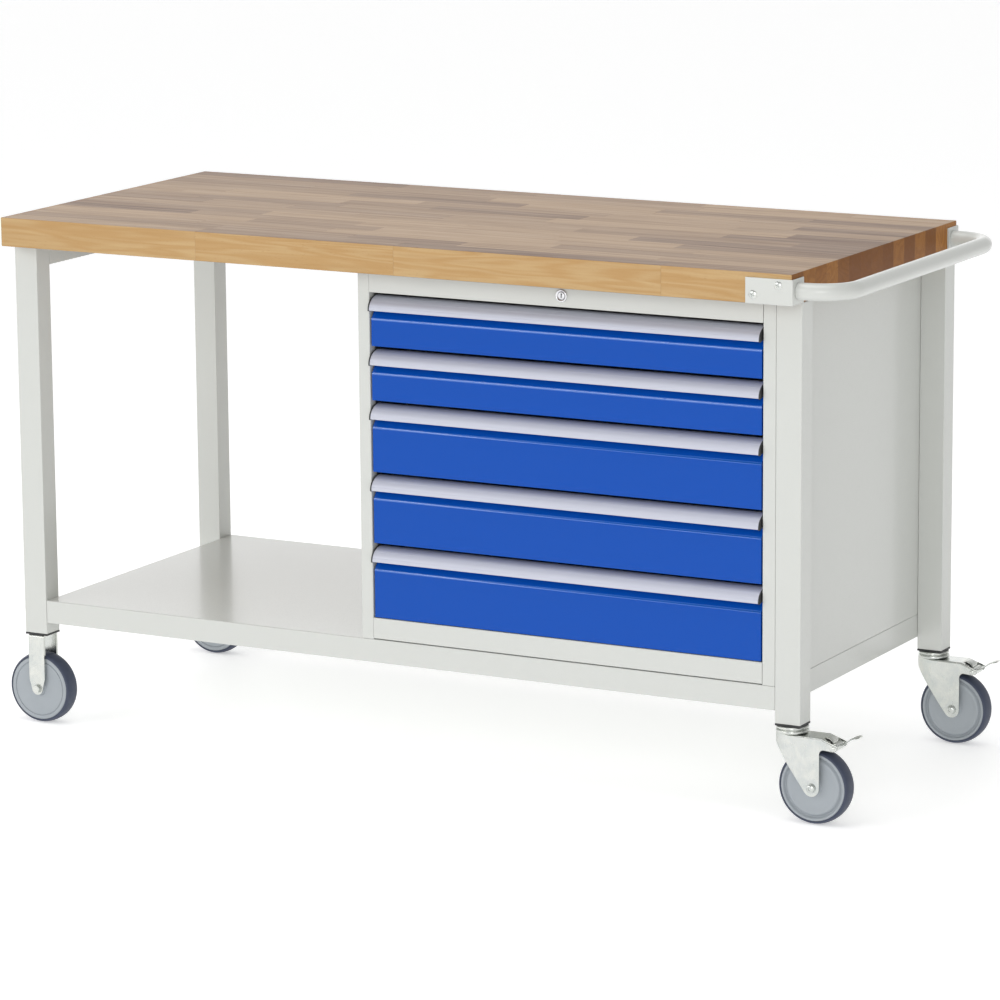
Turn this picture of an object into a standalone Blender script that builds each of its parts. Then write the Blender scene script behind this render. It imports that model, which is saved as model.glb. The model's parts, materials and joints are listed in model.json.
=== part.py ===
"""Mobile workbench: beech top, painted steel frame, five-drawer cabinet, shelf, push handle, casters.

All sizes are in millimetres, in bench coordinates: X runs right from the worktop's left end, Y runs
back from the worktop's front edge, Z runs up from the floor. The bench_origin empty shifts everything
so that the finished model stands on Z = 0 with X = Y = 0 in the middle of its outer box.
"""
import math

import bmesh
import bpy
from mathutils import Vector

MM = 0.001
GAP = 0.3                       # air between pieces that touch

# ---------------------------------------------------------------- driving dimensions
WORKTOP_LENGTH = 1500.0
WORKTOP_DEPTH = 665.0
WORKTOP_THICKNESS = 50.0
BENCH_HEIGHT = 905.0

LEG_WIDTH = 45.0                # along X
LEG_DEPTH = 40.0                # along Y
LEG_WALL = 2.0
LEG_FRONT_SETBACK = 40.0
LEG_REAR_SETBACK = 5.0
CASTER_HEIGHT = 163.0           # floor to the underside of a leg
LEFT_RAIL_WIDTH = 30.0
LEFT_RAIL_HEIGHT = 40.0

SHELF_TOP = 224.0
SHELF_FLANGE = 40.0
SHEET = 1.2

OPENING_LEFT = 708.0
OPENING_RIGHT = 1432.0
OPENING_TOP = 817.5
BAY_HEIGHTS = (92.0, 92.0, 122.0, 122.0, 128.0)      # top bay first
STILE_WIDTH = 22.0
STILE_RETURN = 18.0
CABINET_DEPTH = 618.0
REAR_FLANGE = 15.0
RAIL_RETURN = 18.0              # how far the front rails' edges are turned in
PAN_LIFT = 1.5                  # floor pan above the shelf

FRONT_RECESS = 1.5              # drawer panel behind the cabinet's front plane
FRONT_DEPTH = 20.0
FRONT_SHEET = 1.5
FRONT_SIDE_GAP = 3.0
FRONT_BOTTOM_GAP = 1.2
PANEL_TOP_DROP = 45.0           # bay top to the panel's upper bend
SCOOP_DEPTH = 16.0              # finger scoop behind the panel face
SCOOP_TOP_DROP = 25.0
WEB_TOP_DROP = 9.5

GRIP_TOP_DROP = 6.5
GRIP_BACK = 23.0                # grip's rear edge behind the front plane
GRIP_DEPTH = 31.0
GRIP_HEIGHT = 21.5
GRIP_SHEET = 2.0
GRIP_LIP = 2.0
GRIP_WEB_DROP = 22.0

DRAWER_SIDE_GAP = 15.0          # opening edge to the drawer body
DRAWER_LENGTH = 570.0
DRAWER_FLOOR = 8.0              # body's underside above its bay's bottom
DRAWER_HEADROOM = 28.0          # bay height less body height
RAIL_CENTRE = 33.0              # drawer rail above its bay's bottom
RAIL_HEIGHT = 22.0
RAIL_OUT = 11.0                 # how far the rail stands out of the drawer's side
RUNNER_START = 72.0             # runner panels begin at this Y
RUNNER_LENGTH = 553.0

LOCK_HEIGHT = 836.5
LOCK_ROSETTE = 10.5
LOCK_BODY = 9.0
LOCK_PLUG = 6.3
LOCK_CRANK = 11.0               # plug axis to the crank's pin
BAR_SETBACK = 24.5              # front plane to the crossbar
BAR_SHEET = 2.5
YOKE_HALF = 14.0                # half the yoke's width round the lock's pin
SLOT_HALF = 5.5                 # half the width of the slot that the pin works in
UPRIGHT_SETBACK = 23.0          # front plane to the hooked upright
HOOK_SPINE_GAP = 8.0            # opening edge to the upright
HOOK_REACH = 12.0               # how far a hook reaches past the opening's edge
HOOK_HEIGHT = 8.5

WHEEL_RADIUS = 62.5
WHEEL_WIDTH = 32.0
HUB_RADIUS = 56.5
HUB_WIDTH = 38.0
AXLE_RADIUS = 5.0
FORK_INNER = 19.5               # half the space between a fork's cheeks
FORK_SHEET = 2.5
SWIVEL_TRAIL = 43.0
SWIVEL_ROOF = 147.0             # floor to the top of the swivel fork
HEAD_RADIUS = 27.5
PEDAL_PIN = (37.0, 69.5)        # the brake pedal's pin, back and up from the axle
STEM_RADIUS = 6.0
PLUG_FLANGE = 3.0
PLUG_SHANK = 30.0

HANDLE_TUBE = 14.0              # outer radius
HANDLE_WALL = 2.0
HANDLE_REACH = 78.0             # worktop end to the grip's centreline
HANDLE_DROP = 28.5              # worktop top to the grip's centreline
HANDLE_BEND = 60.0
HANDLE_INSET = 20.0             # worktop front or rear edge to the tube's first centreline
BRACKET_LENGTH = 80.0
BRACKET_SIDE = 40.0
BRACKET_HEIGHT = 42.0
BRACKET_SHEET = 2.5

WHEEL_SEGMENTS = 32
ROUND_SEGMENTS = 20

# ---------------------------------------------------------------- derived places
WORKTOP_BOTTOM = BENCH_HEIGHT - WORKTOP_THICKNESS
FRAME_TOP = WORKTOP_BOTTOM - GAP
FRONT_PLANE = LEG_FRONT_SETBACK
FRAME_BACK = WORKTOP_DEPTH - LEG_REAR_SETBACK
INNER_LEFT = LEG_WIDTH
INNER_RIGHT = WORKTOP_LENGTH - LEG_WIDTH
OPENING_WIDTH = OPENING_RIGHT - OPENING_LEFT
OPENING_BOTTOM = OPENING_TOP - sum(BAY_HEIGHTS)
OPENING_MIDDLE = (OPENING_LEFT + OPENING_RIGHT) / 2
CABINET_LEFT = OPENING_LEFT - STILE_WIDTH
CABINET_RIGHT = INNER_RIGHT - GAP
CABINET_BOTTOM = SHELF_TOP + GAP
CABINET_BACK = FRONT_PLANE + CABINET_DEPTH
PAN_BACK = CABINET_BACK - REAR_FLANGE - 3
LEG_X = {"left": LEG_WIDTH / 2, "right": WORKTOP_LENGTH - LEG_WIDTH / 2}
LEG_Y = {"front": FRONT_PLANE + LEG_DEPTH / 2, "rear": FRAME_BACK - LEG_DEPTH / 2}
HEAD_TOP = CASTER_HEIGHT - GAP - PLUG_FLANGE - GAP
STEM_TOP = CASTER_HEIGHT + PLUG_SHANK
PEDAL_TIP = 121.0
MODEL_LEFT = LEG_X["left"] - WHEEL_RADIUS
MODEL_RIGHT = LEG_X["right"] + PEDAL_TIP
X_MIDDLE = (MODEL_LEFT + MODEL_RIGHT) / 2
Y_MIDDLE = WORKTOP_DEPTH / 2


# ---------------------------------------------------------------- scene and materials
def clear_scene():
    for old in list(bpy.data.objects):
        bpy.data.objects.remove(old, do_unlink=True)


def material(name, colour, roughness, metallic=0.0):
    made = bpy.data.materials.new(name)
    made.use_nodes = True
    shader = made.node_tree.nodes["Principled BSDF"]
    shader.inputs["Base Color"].default_value = (*colour, 1.0)
    shader.inputs["Roughness"].default_value = roughness
    shader.inputs["Metallic"].default_value = metallic
    return made


def make_materials():
    return {
        "beech": material("beech", (0.50, 0.33, 0.19), 0.45),
        "grey_paint": material("light_grey_paint", (0.70, 0.72, 0.67), 0.35),
        "blue_paint": material("blue_paint", (0.02, 0.09, 0.46), 0.35),
        "aluminium": material("grip_aluminium", (0.78, 0.79, 0.82), 0.30, 1.0),
        "zinc": material("zinc_steel", (0.66, 0.69, 0.67), 0.35, 1.0),
        "chrome": material("lock_chrome", (0.75, 0.75, 0.76), 0.15, 1.0),
        "rubber": material("tyre_rubber", (0.07, 0.08, 0.13), 0.65),
        "hub": material("hub_plastic", (0.31, 0.34, 0.42), 0.45),
        "black": material("black_plastic", (0.02, 0.02, 0.02), 0.50),
    }


# ---------------------------------------------------------------- shape helpers
def empty(name, location, parent=None):
    """A joint axis or a frame of reference: it has a place and no shape."""
    made = bpy.data.objects.new(name, None)
    bpy.context.scene.collection.objects.link(made)
    made.location = Vector(location) * MM
    made.parent = parent
    return made


def finish_mesh(name, shape, finish, parent, smooth=False):
    """Turns a bmesh in millimetres into an object in metres."""
    bmesh.ops.scale(shape, vec=(MM, MM, MM), verts=shape.verts)
    bmesh.ops.remove_doubles(shape, verts=shape.verts, dist=1e-6)
    bmesh.ops.recalc_face_normals(shape, faces=shape.faces)
    mesh = bpy.data.meshes.new(name)
    shape.to_mesh(mesh)
    shape.free()
    if smooth:
        mesh.shade_smooth()
        mesh.set_sharp_from_angle(angle=math.radians(35))
    made = bpy.data.objects.new(name, mesh)
    bpy.context.scene.collection.objects.link(made)
    made.data.materials.append(finish)
    made.parent = parent
    return made


def axis_point(axis, u, v, along):
    """A point from its two profile values and its distance along the axis."""
    if axis == "X":
        return (along, u, v)
    if axis == "Y":
        return (u, along, v)
    return (u, v, along)


def prism(name, outline, axis, start, end, finish, parent, smooth=False):
    """An outline pulled from start to end along an axis. It reads (y, z), (x, z) or (x, y)."""
    shape = bmesh.new()
    corners = [shape.verts.new(axis_point(axis, u, v, start)) for u, v in outline]
    face = shape.faces.new(corners)
    pulled = bmesh.ops.extrude_face_region(shape, geom=[face])
    moved = [item for item in pulled["geom"] if isinstance(item, bmesh.types.BMVert)]
    bmesh.ops.translate(shape, verts=moved, vec=axis_point(axis, 0, 0, end - start))
    return finish_mesh(name, shape, finish, parent, smooth)


def rectangle(low, high):
    return [(low[0], low[1]), (high[0], low[1]), (high[0], high[1]), (low[0], high[1])]


def block(name, low, high, finish, parent):
    return prism(name, rectangle(low[:2], high[:2]), "Z", low[2], high[2], finish, parent)


def hollow_section(name, low, high, wall, axis, start, end, finish, parent):
    """A rectangular tube with open ends."""
    inner_low = (low[0] + wall, low[1] + wall)
    inner_high = (high[0] - wall, high[1] - wall)
    outer, inner = rectangle(low, high), rectangle(inner_low, inner_high)
    shape = bmesh.new()
    rings = []
    for along in (start, end):
        for loop in (outer, inner):
            rings.append([shape.verts.new(axis_point(axis, u, v, along)) for u, v in loop])
    outer_start, inner_start, outer_end, inner_end = rings
    pairs = ((outer_start, outer_end), (inner_start, inner_end),
             (outer_start, inner_start), (outer_end, inner_end))
    for one, other in pairs:
        for k in range(4):
            n = (k + 1) % 4
            shape.faces.new((one[k], one[n], other[n], other[k]))
    return finish_mesh(name, shape, finish, parent)


def open_box(name, low, high, wall, opens_up, finish, parent):
    """A thin-walled box with its top or its underside missing."""
    rim, floor = (high[2], low[2]) if opens_up else (low[2], high[2])
    inner_floor = floor + wall if opens_up else floor - wall
    outer = rectangle(low[:2], high[:2])
    inner = rectangle((low[0] + wall, low[1] + wall), (high[0] - wall, high[1] - wall))
    shape = bmesh.new()
    levels = ((outer, floor), (outer, rim), (inner, rim), (inner, inner_floor))
    rings = [[shape.verts.new((x, y, z)) for x, y in loop] for loop, z in levels]
    for one, other in zip(rings, rings[1:]):
        for k in range(4):
            n = (k + 1) % 4
            shape.faces.new((one[k], one[n], other[n], other[k]))
    shape.faces.new(rings[0])
    shape.faces.new(rings[-1])
    return finish_mesh(name, shape, finish, parent)


def turned(name, profile, axis, segments, finish, parent, closed=True):
    """A profile of (radius, place along the axis) points spun about the axis."""
    across = {"X": (0, 1, 0), "Y": (1, 0, 0), "Z": (1, 0, 0)}[axis]
    direction = {"X": (1, 0, 0), "Y": (0, 1, 0), "Z": (0, 0, 1)}[axis]
    shape = bmesh.new()
    points = [shape.verts.new(Vector(across) * r + Vector(direction) * h) for r, h in profile]
    edges = [shape.edges.new(pair) for pair in zip(points, points[1:])]
    if closed:
        edges.append(shape.edges.new((points[-1], points[0])))
    bmesh.ops.spin(shape, geom=points + edges, cent=(0, 0, 0), axis=direction,
                   angle=math.tau, steps=segments, use_merge=True)
    bmesh.ops.remove_doubles(shape, verts=shape.verts, dist=1e-3)
    return finish_mesh(name, shape, finish, parent, smooth=True)


def combine(target, tool, operation):
    """Cuts a tool out of the target, or adds the tool to it."""
    step = target.modifiers.new(tool.name, "BOOLEAN")
    step.object = tool
    step.operation = operation
    step.solver = "EXACT"
    tool.hide_render = True
    tool.display_type = "WIRE"
    return target


def folded(points, thickness):
    """The outline of a sheet bent along a line, with its thickness to the left of the line."""
    count = len(points)
    normals = []
    for (u0, v0), (u1, v1) in zip(points, points[1:]):
        run = math.hypot(u1 - u0, v1 - v0)
        normals.append((-(v1 - v0) / run, (u1 - u0) / run))
    inner = []
    for k in range(count):
        before = normals[max(k - 1, 0)]
        after = normals[min(k, count - 2)]
        mitre = thickness / (1 + before[0] * after[0] + before[1] * after[1])
        inner.append((points[k][0] + mitre * (before[0] + after[0]),
                      points[k][1] + mitre * (before[1] + after[1])))
    return list(points) + inner[::-1]


def arc(centre, radii, start, end, steps):
    """Points on an ellipse, from one angle in degrees to another."""
    points = []
    for k in range(steps + 1):
        angle = math.radians(start + (end - start) * k / steps)
        points.append((centre[0] + radii[0] * math.cos(angle),
                       centre[1] + radii[1] * math.sin(angle)))
    return points


# ---------------------------------------------------------------- worktop and frame
def make_worktop(finishes, bench):
    block("worktop", (0, 0, WORKTOP_BOTTOM), (WORKTOP_LENGTH, WORKTOP_DEPTH, BENCH_HEIGHT),
          finishes["beech"], bench)


def make_legs(finishes, bench):
    for side, x in LEG_X.items():
        for end, y in LEG_Y.items():
            low = (x - LEG_WIDTH / 2, y - LEG_DEPTH / 2)
            high = (x + LEG_WIDTH / 2, y + LEG_DEPTH / 2)
            hollow_section(f"leg_{end}_{side}", low, high, LEG_WALL, "Z", CASTER_HEIGHT, FRAME_TOP,
                           finishes["grey_paint"], bench)


def make_left_rail(finishes, bench):
    """Cross rail of the left end frame, flush with the legs' inner faces."""
    low = (INNER_LEFT - LEFT_RAIL_WIDTH, FRAME_TOP - LEFT_RAIL_HEIGHT)
    high = (INNER_LEFT, FRAME_TOP)
    hollow_section("left_top_rail", low, high, LEG_WALL, "Y",
                   FRONT_PLANE + LEG_DEPTH + GAP, FRAME_BACK - LEG_DEPTH - GAP,
                   finishes["grey_paint"], bench)


def make_shelf(finishes, bench):
    """Base tray between the end frames, with its flanges turned down."""
    open_box("base_shelf", (INNER_LEFT + GAP, FRONT_PLANE, SHELF_TOP - SHELF_FLANGE),
             (INNER_RIGHT - GAP, FRAME_BACK, SHELF_TOP), SHEET, False, finishes["grey_paint"], bench)


def make_plug(end, side, finishes, bench):
    """Black insert in a leg's lower end, bored for the caster's stem."""
    spot = empty(f"plug_place_{end}_{side}", (LEG_X[side], LEG_Y[end], CASTER_HEIGHT), bench)
    flange = block(f"leg_plug_{end}_{side}",
                   (-LEG_WIDTH / 2, -LEG_DEPTH / 2, -GAP - PLUG_FLANGE),
                   (LEG_WIDTH / 2, LEG_DEPTH / 2, -GAP), finishes["black"], spot)
    half_x = LEG_WIDTH / 2 - LEG_WALL - GAP
    half_y = LEG_DEPTH / 2 - LEG_WALL - GAP
    shank = block(f"plug_shank_{end}_{side}", (-half_x, -half_y, -GAP - 1), (half_x, half_y, PLUG_SHANK),
                  finishes["black"], spot)
    combine(flange, shank, "UNION")
    bore = turned(f"plug_bore_{end}_{side}",
                  [(0, -20), (STEM_RADIUS + GAP, -20), (STEM_RADIUS + GAP, 60), (0, 60)],
                  "Z", ROUND_SEGMENTS, finishes["black"], spot, closed=False)
    combine(flange, bore, "DIFFERENCE")


# ---------------------------------------------------------------- cabinet
def make_side_walls(finishes, bench):
    """Side walls folded round to form the front stiles and a rear flange."""
    back = CABINET_BACK
    plane = FRONT_PLANE
    left = [(OPENING_LEFT, plane + STILE_RETURN), (OPENING_LEFT, plane), (CABINET_LEFT, plane),
            (CABINET_LEFT, back), (CABINET_LEFT + REAR_FLANGE, back)]
    right = [(OPENING_RIGHT, plane + STILE_RETURN), (OPENING_RIGHT, plane), (CABINET_RIGHT, plane),
             (CABINET_RIGHT, back), (CABINET_RIGHT - REAR_FLANGE, back)]
    prism("cabinet_wall_left", folded(left, -SHEET), "Z", CABINET_BOTTOM, FRAME_TOP,
          finishes["grey_paint"], bench)
    prism("cabinet_wall_right", folded(right, SHEET), "Z", CABINET_BOTTOM, FRAME_TOP,
          finishes["grey_paint"], bench)


def make_rear_wall(finishes, bench):
    """Rear wall in front of the side walls' flanges, with its edges turned inwards."""
    outer = CABINET_BACK - SHEET - GAP
    low, high = CABINET_BOTTOM, FRAME_TOP
    section = [(outer - REAR_FLANGE, high), (outer, high), (outer, low), (outer - REAR_FLANGE, low)]
    prism("cabinet_wall_rear", folded(section, -SHEET), "X",
          CABINET_LEFT + SHEET + GAP, CABINET_RIGHT - SHEET - GAP, finishes["grey_paint"], bench)


def make_front_rails(finishes, bench):
    """Top rail, bored for the lock, and the floor pan with the bottom rail folded up at its front."""
    plane = FRONT_PLANE
    start, end = OPENING_LEFT + GAP, OPENING_RIGHT - GAP
    inner = plane + RAIL_RETURN
    top = [(inner, OPENING_TOP), (plane, OPENING_TOP), (plane, FRAME_TOP), (inner, FRAME_TOP)]
    rail = prism("cabinet_top_rail", folded(top, -SHEET), "X", start, end, finishes["grey_paint"], bench)
    spot = empty("lock_bore_place", (OPENING_MIDDLE, plane, LOCK_HEIGHT), bench)
    bore = turned("lock_bore", [(0, -10), (LOCK_BODY + GAP, -10), (LOCK_BODY + GAP, 10), (0, 10)],
                  "Y", ROUND_SEGMENTS, finishes["grey_paint"], spot, closed=False)
    combine(rail, bore, "DIFFERENCE")
    pan = SHELF_TOP + PAN_LIFT
    bottom = [(inner, OPENING_BOTTOM), (plane, OPENING_BOTTOM), (plane, pan), (PAN_BACK, pan)]
    prism("cabinet_floor_pan", folded(bottom, SHEET), "X", start, end, finishes["grey_paint"], bench)


def bay_bottoms():
    """The floor level of each drawer bay, top bay first."""
    level, levels = OPENING_TOP, []
    for height in BAY_HEIGHTS:
        level -= height
        levels.append(level)
    return levels


def make_runner_panels(finishes, bench):
    """A panel inside each side wall, with a channel for each drawer's rail."""
    web, sheet, lip = 1.0, 1.5, 11.5         # panel behind the opening's edge, its sheet, channel depth
    half = RAIL_HEIGHT / 2 + 1.0             # half the space inside a channel
    bottom, top = SHELF_TOP + 8, OPENING_TOP + 6
    foot = STILE_WIDTH - SHEET - 2 * GAP     # how far the turned edges reach to the side wall
    outline = [(web + sheet, bottom)]
    for level in reversed(bay_bottoms()):
        centre = level + RAIL_CENTRE
        for out, z in ((0, -half - sheet), (1, -half - sheet), (1, -half), (0, -half),
                       (0, half), (1, half), (1, half + sheet), (0, half + sheet)):
            outline.append((lip if out else web + sheet, centre + z))
    outline += [(web + sheet, top), (-foot, top), (-foot, top - sheet), (web, top - sheet),
                (web, bottom + sheet), (-foot, bottom + sheet), (-foot, bottom)]
    left = [(OPENING_LEFT + u, z) for u, z in outline]
    right = [(OPENING_RIGHT - u, z) for u, z in outline]
    for side, shape in (("left", left), ("right", right)):
        prism(f"runner_panel_{side}", shape, "Y", RUNNER_START, RUNNER_START + RUNNER_LENGTH,
              finishes["zinc"], bench)


# ---------------------------------------------------------------- drawers
def make_drawer_front(number, height, finishes, slide):
    """Folded steel front with a finger scoop under the grip strip, hollow at the back."""
    face, back = FRONT_RECESS, FRONT_RECESS + FRONT_DEPTH
    low, high = FRONT_BOTTOM_GAP, height - WEB_TOP_DROP
    outline = [(back, low), (face, low), (face, height - PANEL_TOP_DROP),
               (face + SCOOP_DEPTH, height - SCOOP_TOP_DROP), (face + SCOOP_DEPTH, high), (back, high)]
    front = prism(f"drawer_{number}_front", outline, "X", FRONT_SIDE_GAP, OPENING_WIDTH - FRONT_SIDE_GAP,
                  finishes["blue_paint"], slide)
    sheet = FRONT_SHEET
    slope_shift = 0.7 * sheet                # keeps the sloping sheet about as thick as the rest
    inside = face + sheet
    pocket = [(back + 8, low + sheet), (inside, low + sheet), (inside, height - PANEL_TOP_DROP - slope_shift),
              (inside + SCOOP_DEPTH, height - SCOOP_TOP_DROP - slope_shift),
              (inside + SCOOP_DEPTH, high - sheet), (back + 8, high - sheet)]
    tool = prism(f"front_pocket_{number}", pocket, "X", FRONT_SIDE_GAP + sheet,
                 OPENING_WIDTH - FRONT_SIDE_GAP - sheet, finishes["blue_paint"], slide)
    combine(front, tool, "DIFFERENCE")


def make_grip(number, height, finishes, slide):
    """Extruded grip strip: a quarter-round nose, a lip, and a flange on the front's upright web."""
    centre = (GRIP_BACK, height - GRIP_TOP_DROP - GRIP_HEIGHT)
    nose = GRIP_BACK - GRIP_DEPTH
    outer = arc(centre, (GRIP_DEPTH, GRIP_HEIGHT), 90, 180, 10)
    inner_radii = (GRIP_DEPTH - GRIP_SHEET, GRIP_HEIGHT - GRIP_SHEET)
    flange_back = FRONT_RECESS + SCOOP_DEPTH - GAP
    flange_front = flange_back - GRIP_SHEET
    flange_angle = math.degrees(math.acos((flange_front - GRIP_BACK) / inner_radii[0]))
    inner = arc(centre, inner_radii, 180, flange_angle, 8)
    outline = outer + [(nose, centre[1] - GRIP_LIP), (nose + GRIP_SHEET, centre[1] - GRIP_LIP)] + inner
    outline += [(flange_front, height - GRIP_WEB_DROP), (flange_back, height - GRIP_WEB_DROP),
                (flange_back, height - WEB_TOP_DROP + GAP), (GRIP_BACK, height - WEB_TOP_DROP + GAP)]
    prism(f"drawer_{number}_grip", outline, "X", FRONT_SIDE_GAP + 1, OPENING_WIDTH - FRONT_SIDE_GAP - 1,
          finishes["aluminium"], slide, smooth=True)


def make_drawer_body(number, height, finishes, slide):
    """Open steel tray with a rail on each side and a catch for the locking bar."""
    start = FRONT_RECESS + FRONT_DEPTH + GAP
    end = start + DRAWER_LENGTH
    left, right = DRAWER_SIDE_GAP, OPENING_WIDTH - DRAWER_SIDE_GAP
    body = open_box(f"drawer_{number}_body", (left, start, DRAWER_FLOOR),
                    (right, end, DRAWER_FLOOR + height - DRAWER_HEADROOM), SHEET, True,
                    finishes["grey_paint"], slide)
    bite = 0.6                               # how far rails and catch sink into the tray's wall
    rail_low, rail_high = RAIL_CENTRE - RAIL_HEIGHT / 2, RAIL_CENTRE + RAIL_HEIGHT / 2
    rail_start, rail_end = start + 15, end - 2
    catch_start, catch_low = start + 6.5, DRAWER_FLOOR + 1
    extras = {
        "rail_left": ((left - RAIL_OUT, rail_start, rail_low), (left + bite, rail_end, rail_high)),
        "rail_right": ((right - bite, rail_start, rail_low), (right + RAIL_OUT, rail_end, rail_high)),
        "catch": ((left - RAIL_OUT, catch_start, catch_low), (left + bite, catch_start + 5.5, catch_low + 8)),
    }
    for name, (low, high) in extras.items():
        tool = block(f"drawer_{number}_{name}", low, high, finishes["grey_paint"], slide)
        combine(body, tool, "UNION")


def make_drawers(finishes, bench):
    for number, (height, level) in enumerate(zip(BAY_HEIGHTS, bay_bottoms()), start=1):
        slide = empty(f"drawer_{number}_slide", (OPENING_LEFT, FRONT_PLANE, level), bench)
        make_drawer_body(number, height, finishes, slide)
        make_drawer_front(number, height, finishes, slide)
        make_grip(number, height, finishes, slide)


# ---------------------------------------------------------------- lock
def make_lock(finishes, bench):
    """Cylinder lock: its plug turns a crank whose pin works the crossbar behind the top rail."""
    axis = empty("lock_axis", (OPENING_MIDDLE, FRONT_PLANE, LOCK_HEIGHT), bench)
    bore = LOCK_PLUG + GAP
    barrel = [(bore, -3), (LOCK_ROSETTE - 1, -3), (LOCK_ROSETTE, -2), (LOCK_ROSETTE, -GAP),
              (LOCK_BODY, -GAP), (LOCK_BODY, 20), (bore, 20)]
    turned("lock_barrel", barrel, "Y", ROUND_SEGMENTS, finishes["chrome"], axis)
    plug = turned("lock_plug", [(0, -3.4), (LOCK_PLUG, -3.4), (LOCK_PLUG, 22.5), (0, 22.5)],
                  "Y", ROUND_SEGMENTS, finishes["chrome"], axis, closed=False)
    crank = prism("lock_crank", [(-5, -6), (5, -6), (5, LOCK_CRANK + 4), (-5, LOCK_CRANK + 4)],
                  "Y", 21, 23.5, finishes["chrome"], axis)
    pin_place = empty("lock_pin_place", (0, 0, LOCK_CRANK), axis)
    pin = turned("lock_pin", [(0, 22), (2, 22), (2, 28), (0, 28)], "Y", 12, finishes["chrome"], pin_place,
                 closed=False)
    keyway = prism("lock_keyway", rectangle((-1.1, -4), (1.1, 4)), "Y", -5, 8, finishes["chrome"], axis)
    combine(plug, crank, "UNION")
    combine(plug, pin, "UNION")
    combine(plug, keyway, "DIFFERENCE")


def make_crossbar(finishes, bench):
    """Bar behind the top rail: a yoke round the lock's pin, and an arm to the left stile."""
    front = FRONT_PLANE + BAR_SETBACK
    arm_low, arm_high = WORKTOP_BOTTOM - 15, WORKTOP_BOTTOM - 3
    yoke_low, yoke_high = LOCK_HEIGHT - 7, arm_high + 1
    yoke_left, yoke_right = OPENING_MIDDLE - YOKE_HALF, OPENING_MIDDLE + YOKE_HALF
    arm_end = OPENING_LEFT - HOOK_SPINE_GAP
    outline = [(arm_end, arm_low), (yoke_left, arm_low), (yoke_left, yoke_low), (yoke_right, yoke_low),
               (yoke_right, yoke_high), (yoke_left, yoke_high), (yoke_left, arm_high), (arm_end, arm_high)]
    bar = prism("locking_crossbar", outline, "Y", front, front + BAR_SHEET, finishes["zinc"], bench)
    slot_low = (OPENING_MIDDLE - SLOT_HALF, LOCK_HEIGHT - 3.5)
    slot_high = (OPENING_MIDDLE + SLOT_HALF, LOCK_HEIGHT + LOCK_CRANK + 3)
    window = prism("crossbar_slot", rectangle(slot_low, slot_high), "Y", front - BAR_SHEET,
                   front + 2 * BAR_SHEET, finishes["zinc"], bench)
    combine(bar, window, "DIFFERENCE")


def make_locking_upright(finishes, bench):
    """Bar behind the left stile. It lifts a hook in front of each drawer's catch."""
    right = OPENING_LEFT - HOOK_SPINE_GAP
    left = right - 10
    reach = OPENING_LEFT + HOOK_REACH
    foot, head = OPENING_BOTTOM - 14, OPENING_TOP + 7
    outline = [(right, foot)]
    for level in reversed(bay_bottoms()):
        top = level + DRAWER_FLOOR - 1
        outline += [(right, top - HOOK_HEIGHT), (reach, top - HOOK_HEIGHT), (reach, top), (right, top)]
    outline += [(right, head), (left, head), (left, foot)]
    front = FRONT_PLANE + UPRIGHT_SETBACK
    prism("locking_upright", outline, "Y", front, front + 4, finishes["zinc"], bench)


# ---------------------------------------------------------------- casters
def make_wheel(label, axle, finishes):
    """Tyre and hub, turned about the axle."""
    half, inner = WHEEL_WIDTH / 2, HUB_RADIUS + GAP
    shoulder = WHEEL_RADIUS - inner
    crown = arc((inner, half - shoulder), (shoulder, shoulder), 0, 90, 3)
    outer = [(r, -h) for r, h in reversed(crown)] + crown
    turned(f"tyre_{label}", outer, "Y", WHEEL_SEGMENTS, finishes["rubber"], axle)
    boss, rim = HUB_WIDTH / 2, half - 0.5
    side = [(AXLE_RADIUS + GAP, boss), (13, boss), (15, 12), (44, 11), (48, rim), (HUB_RADIUS, rim)]
    mirrored = [(r, -h) for r, h in reversed(side)]
    turned(f"hub_{label}", side + mirrored, "Y", WHEEL_SEGMENTS, finishes["hub"], axle)


def make_axle(label, axle, finishes):
    """Axle bolt with a head outside each cheek."""
    inner = FORK_INNER + FORK_SHEET + GAP
    half = [(AXLE_RADIUS, inner), (8, inner), (8, inner + 4), (6.5, inner + 5), (0, inner + 5)]
    profile = [(r, -h) for r, h in reversed(half)] + half
    turned(f"axle_{label}", profile, "Y", 16, finishes["zinc"], axle, closed=False)


def cut_fork(fork, label, parent, axle_place, roof, finishes):
    """Opens a fork's block for the wheel and bores it for the axle."""
    reach = 200.0
    inside = block(f"fork_inside_{label}", (-reach, -FORK_INNER, -reach), (reach, FORK_INNER, roof),
                   finishes["zinc"], parent)
    combine(fork, inside, "DIFFERENCE")
    radius = AXLE_RADIUS + GAP
    bore = turned(f"fork_bore_{label}", [(0, -40), (radius, -40), (radius, 40), (0, 40)], "Y", 16,
                  finishes["zinc"], axle_place, closed=False)
    combine(fork, bore, "DIFFERENCE")


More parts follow.
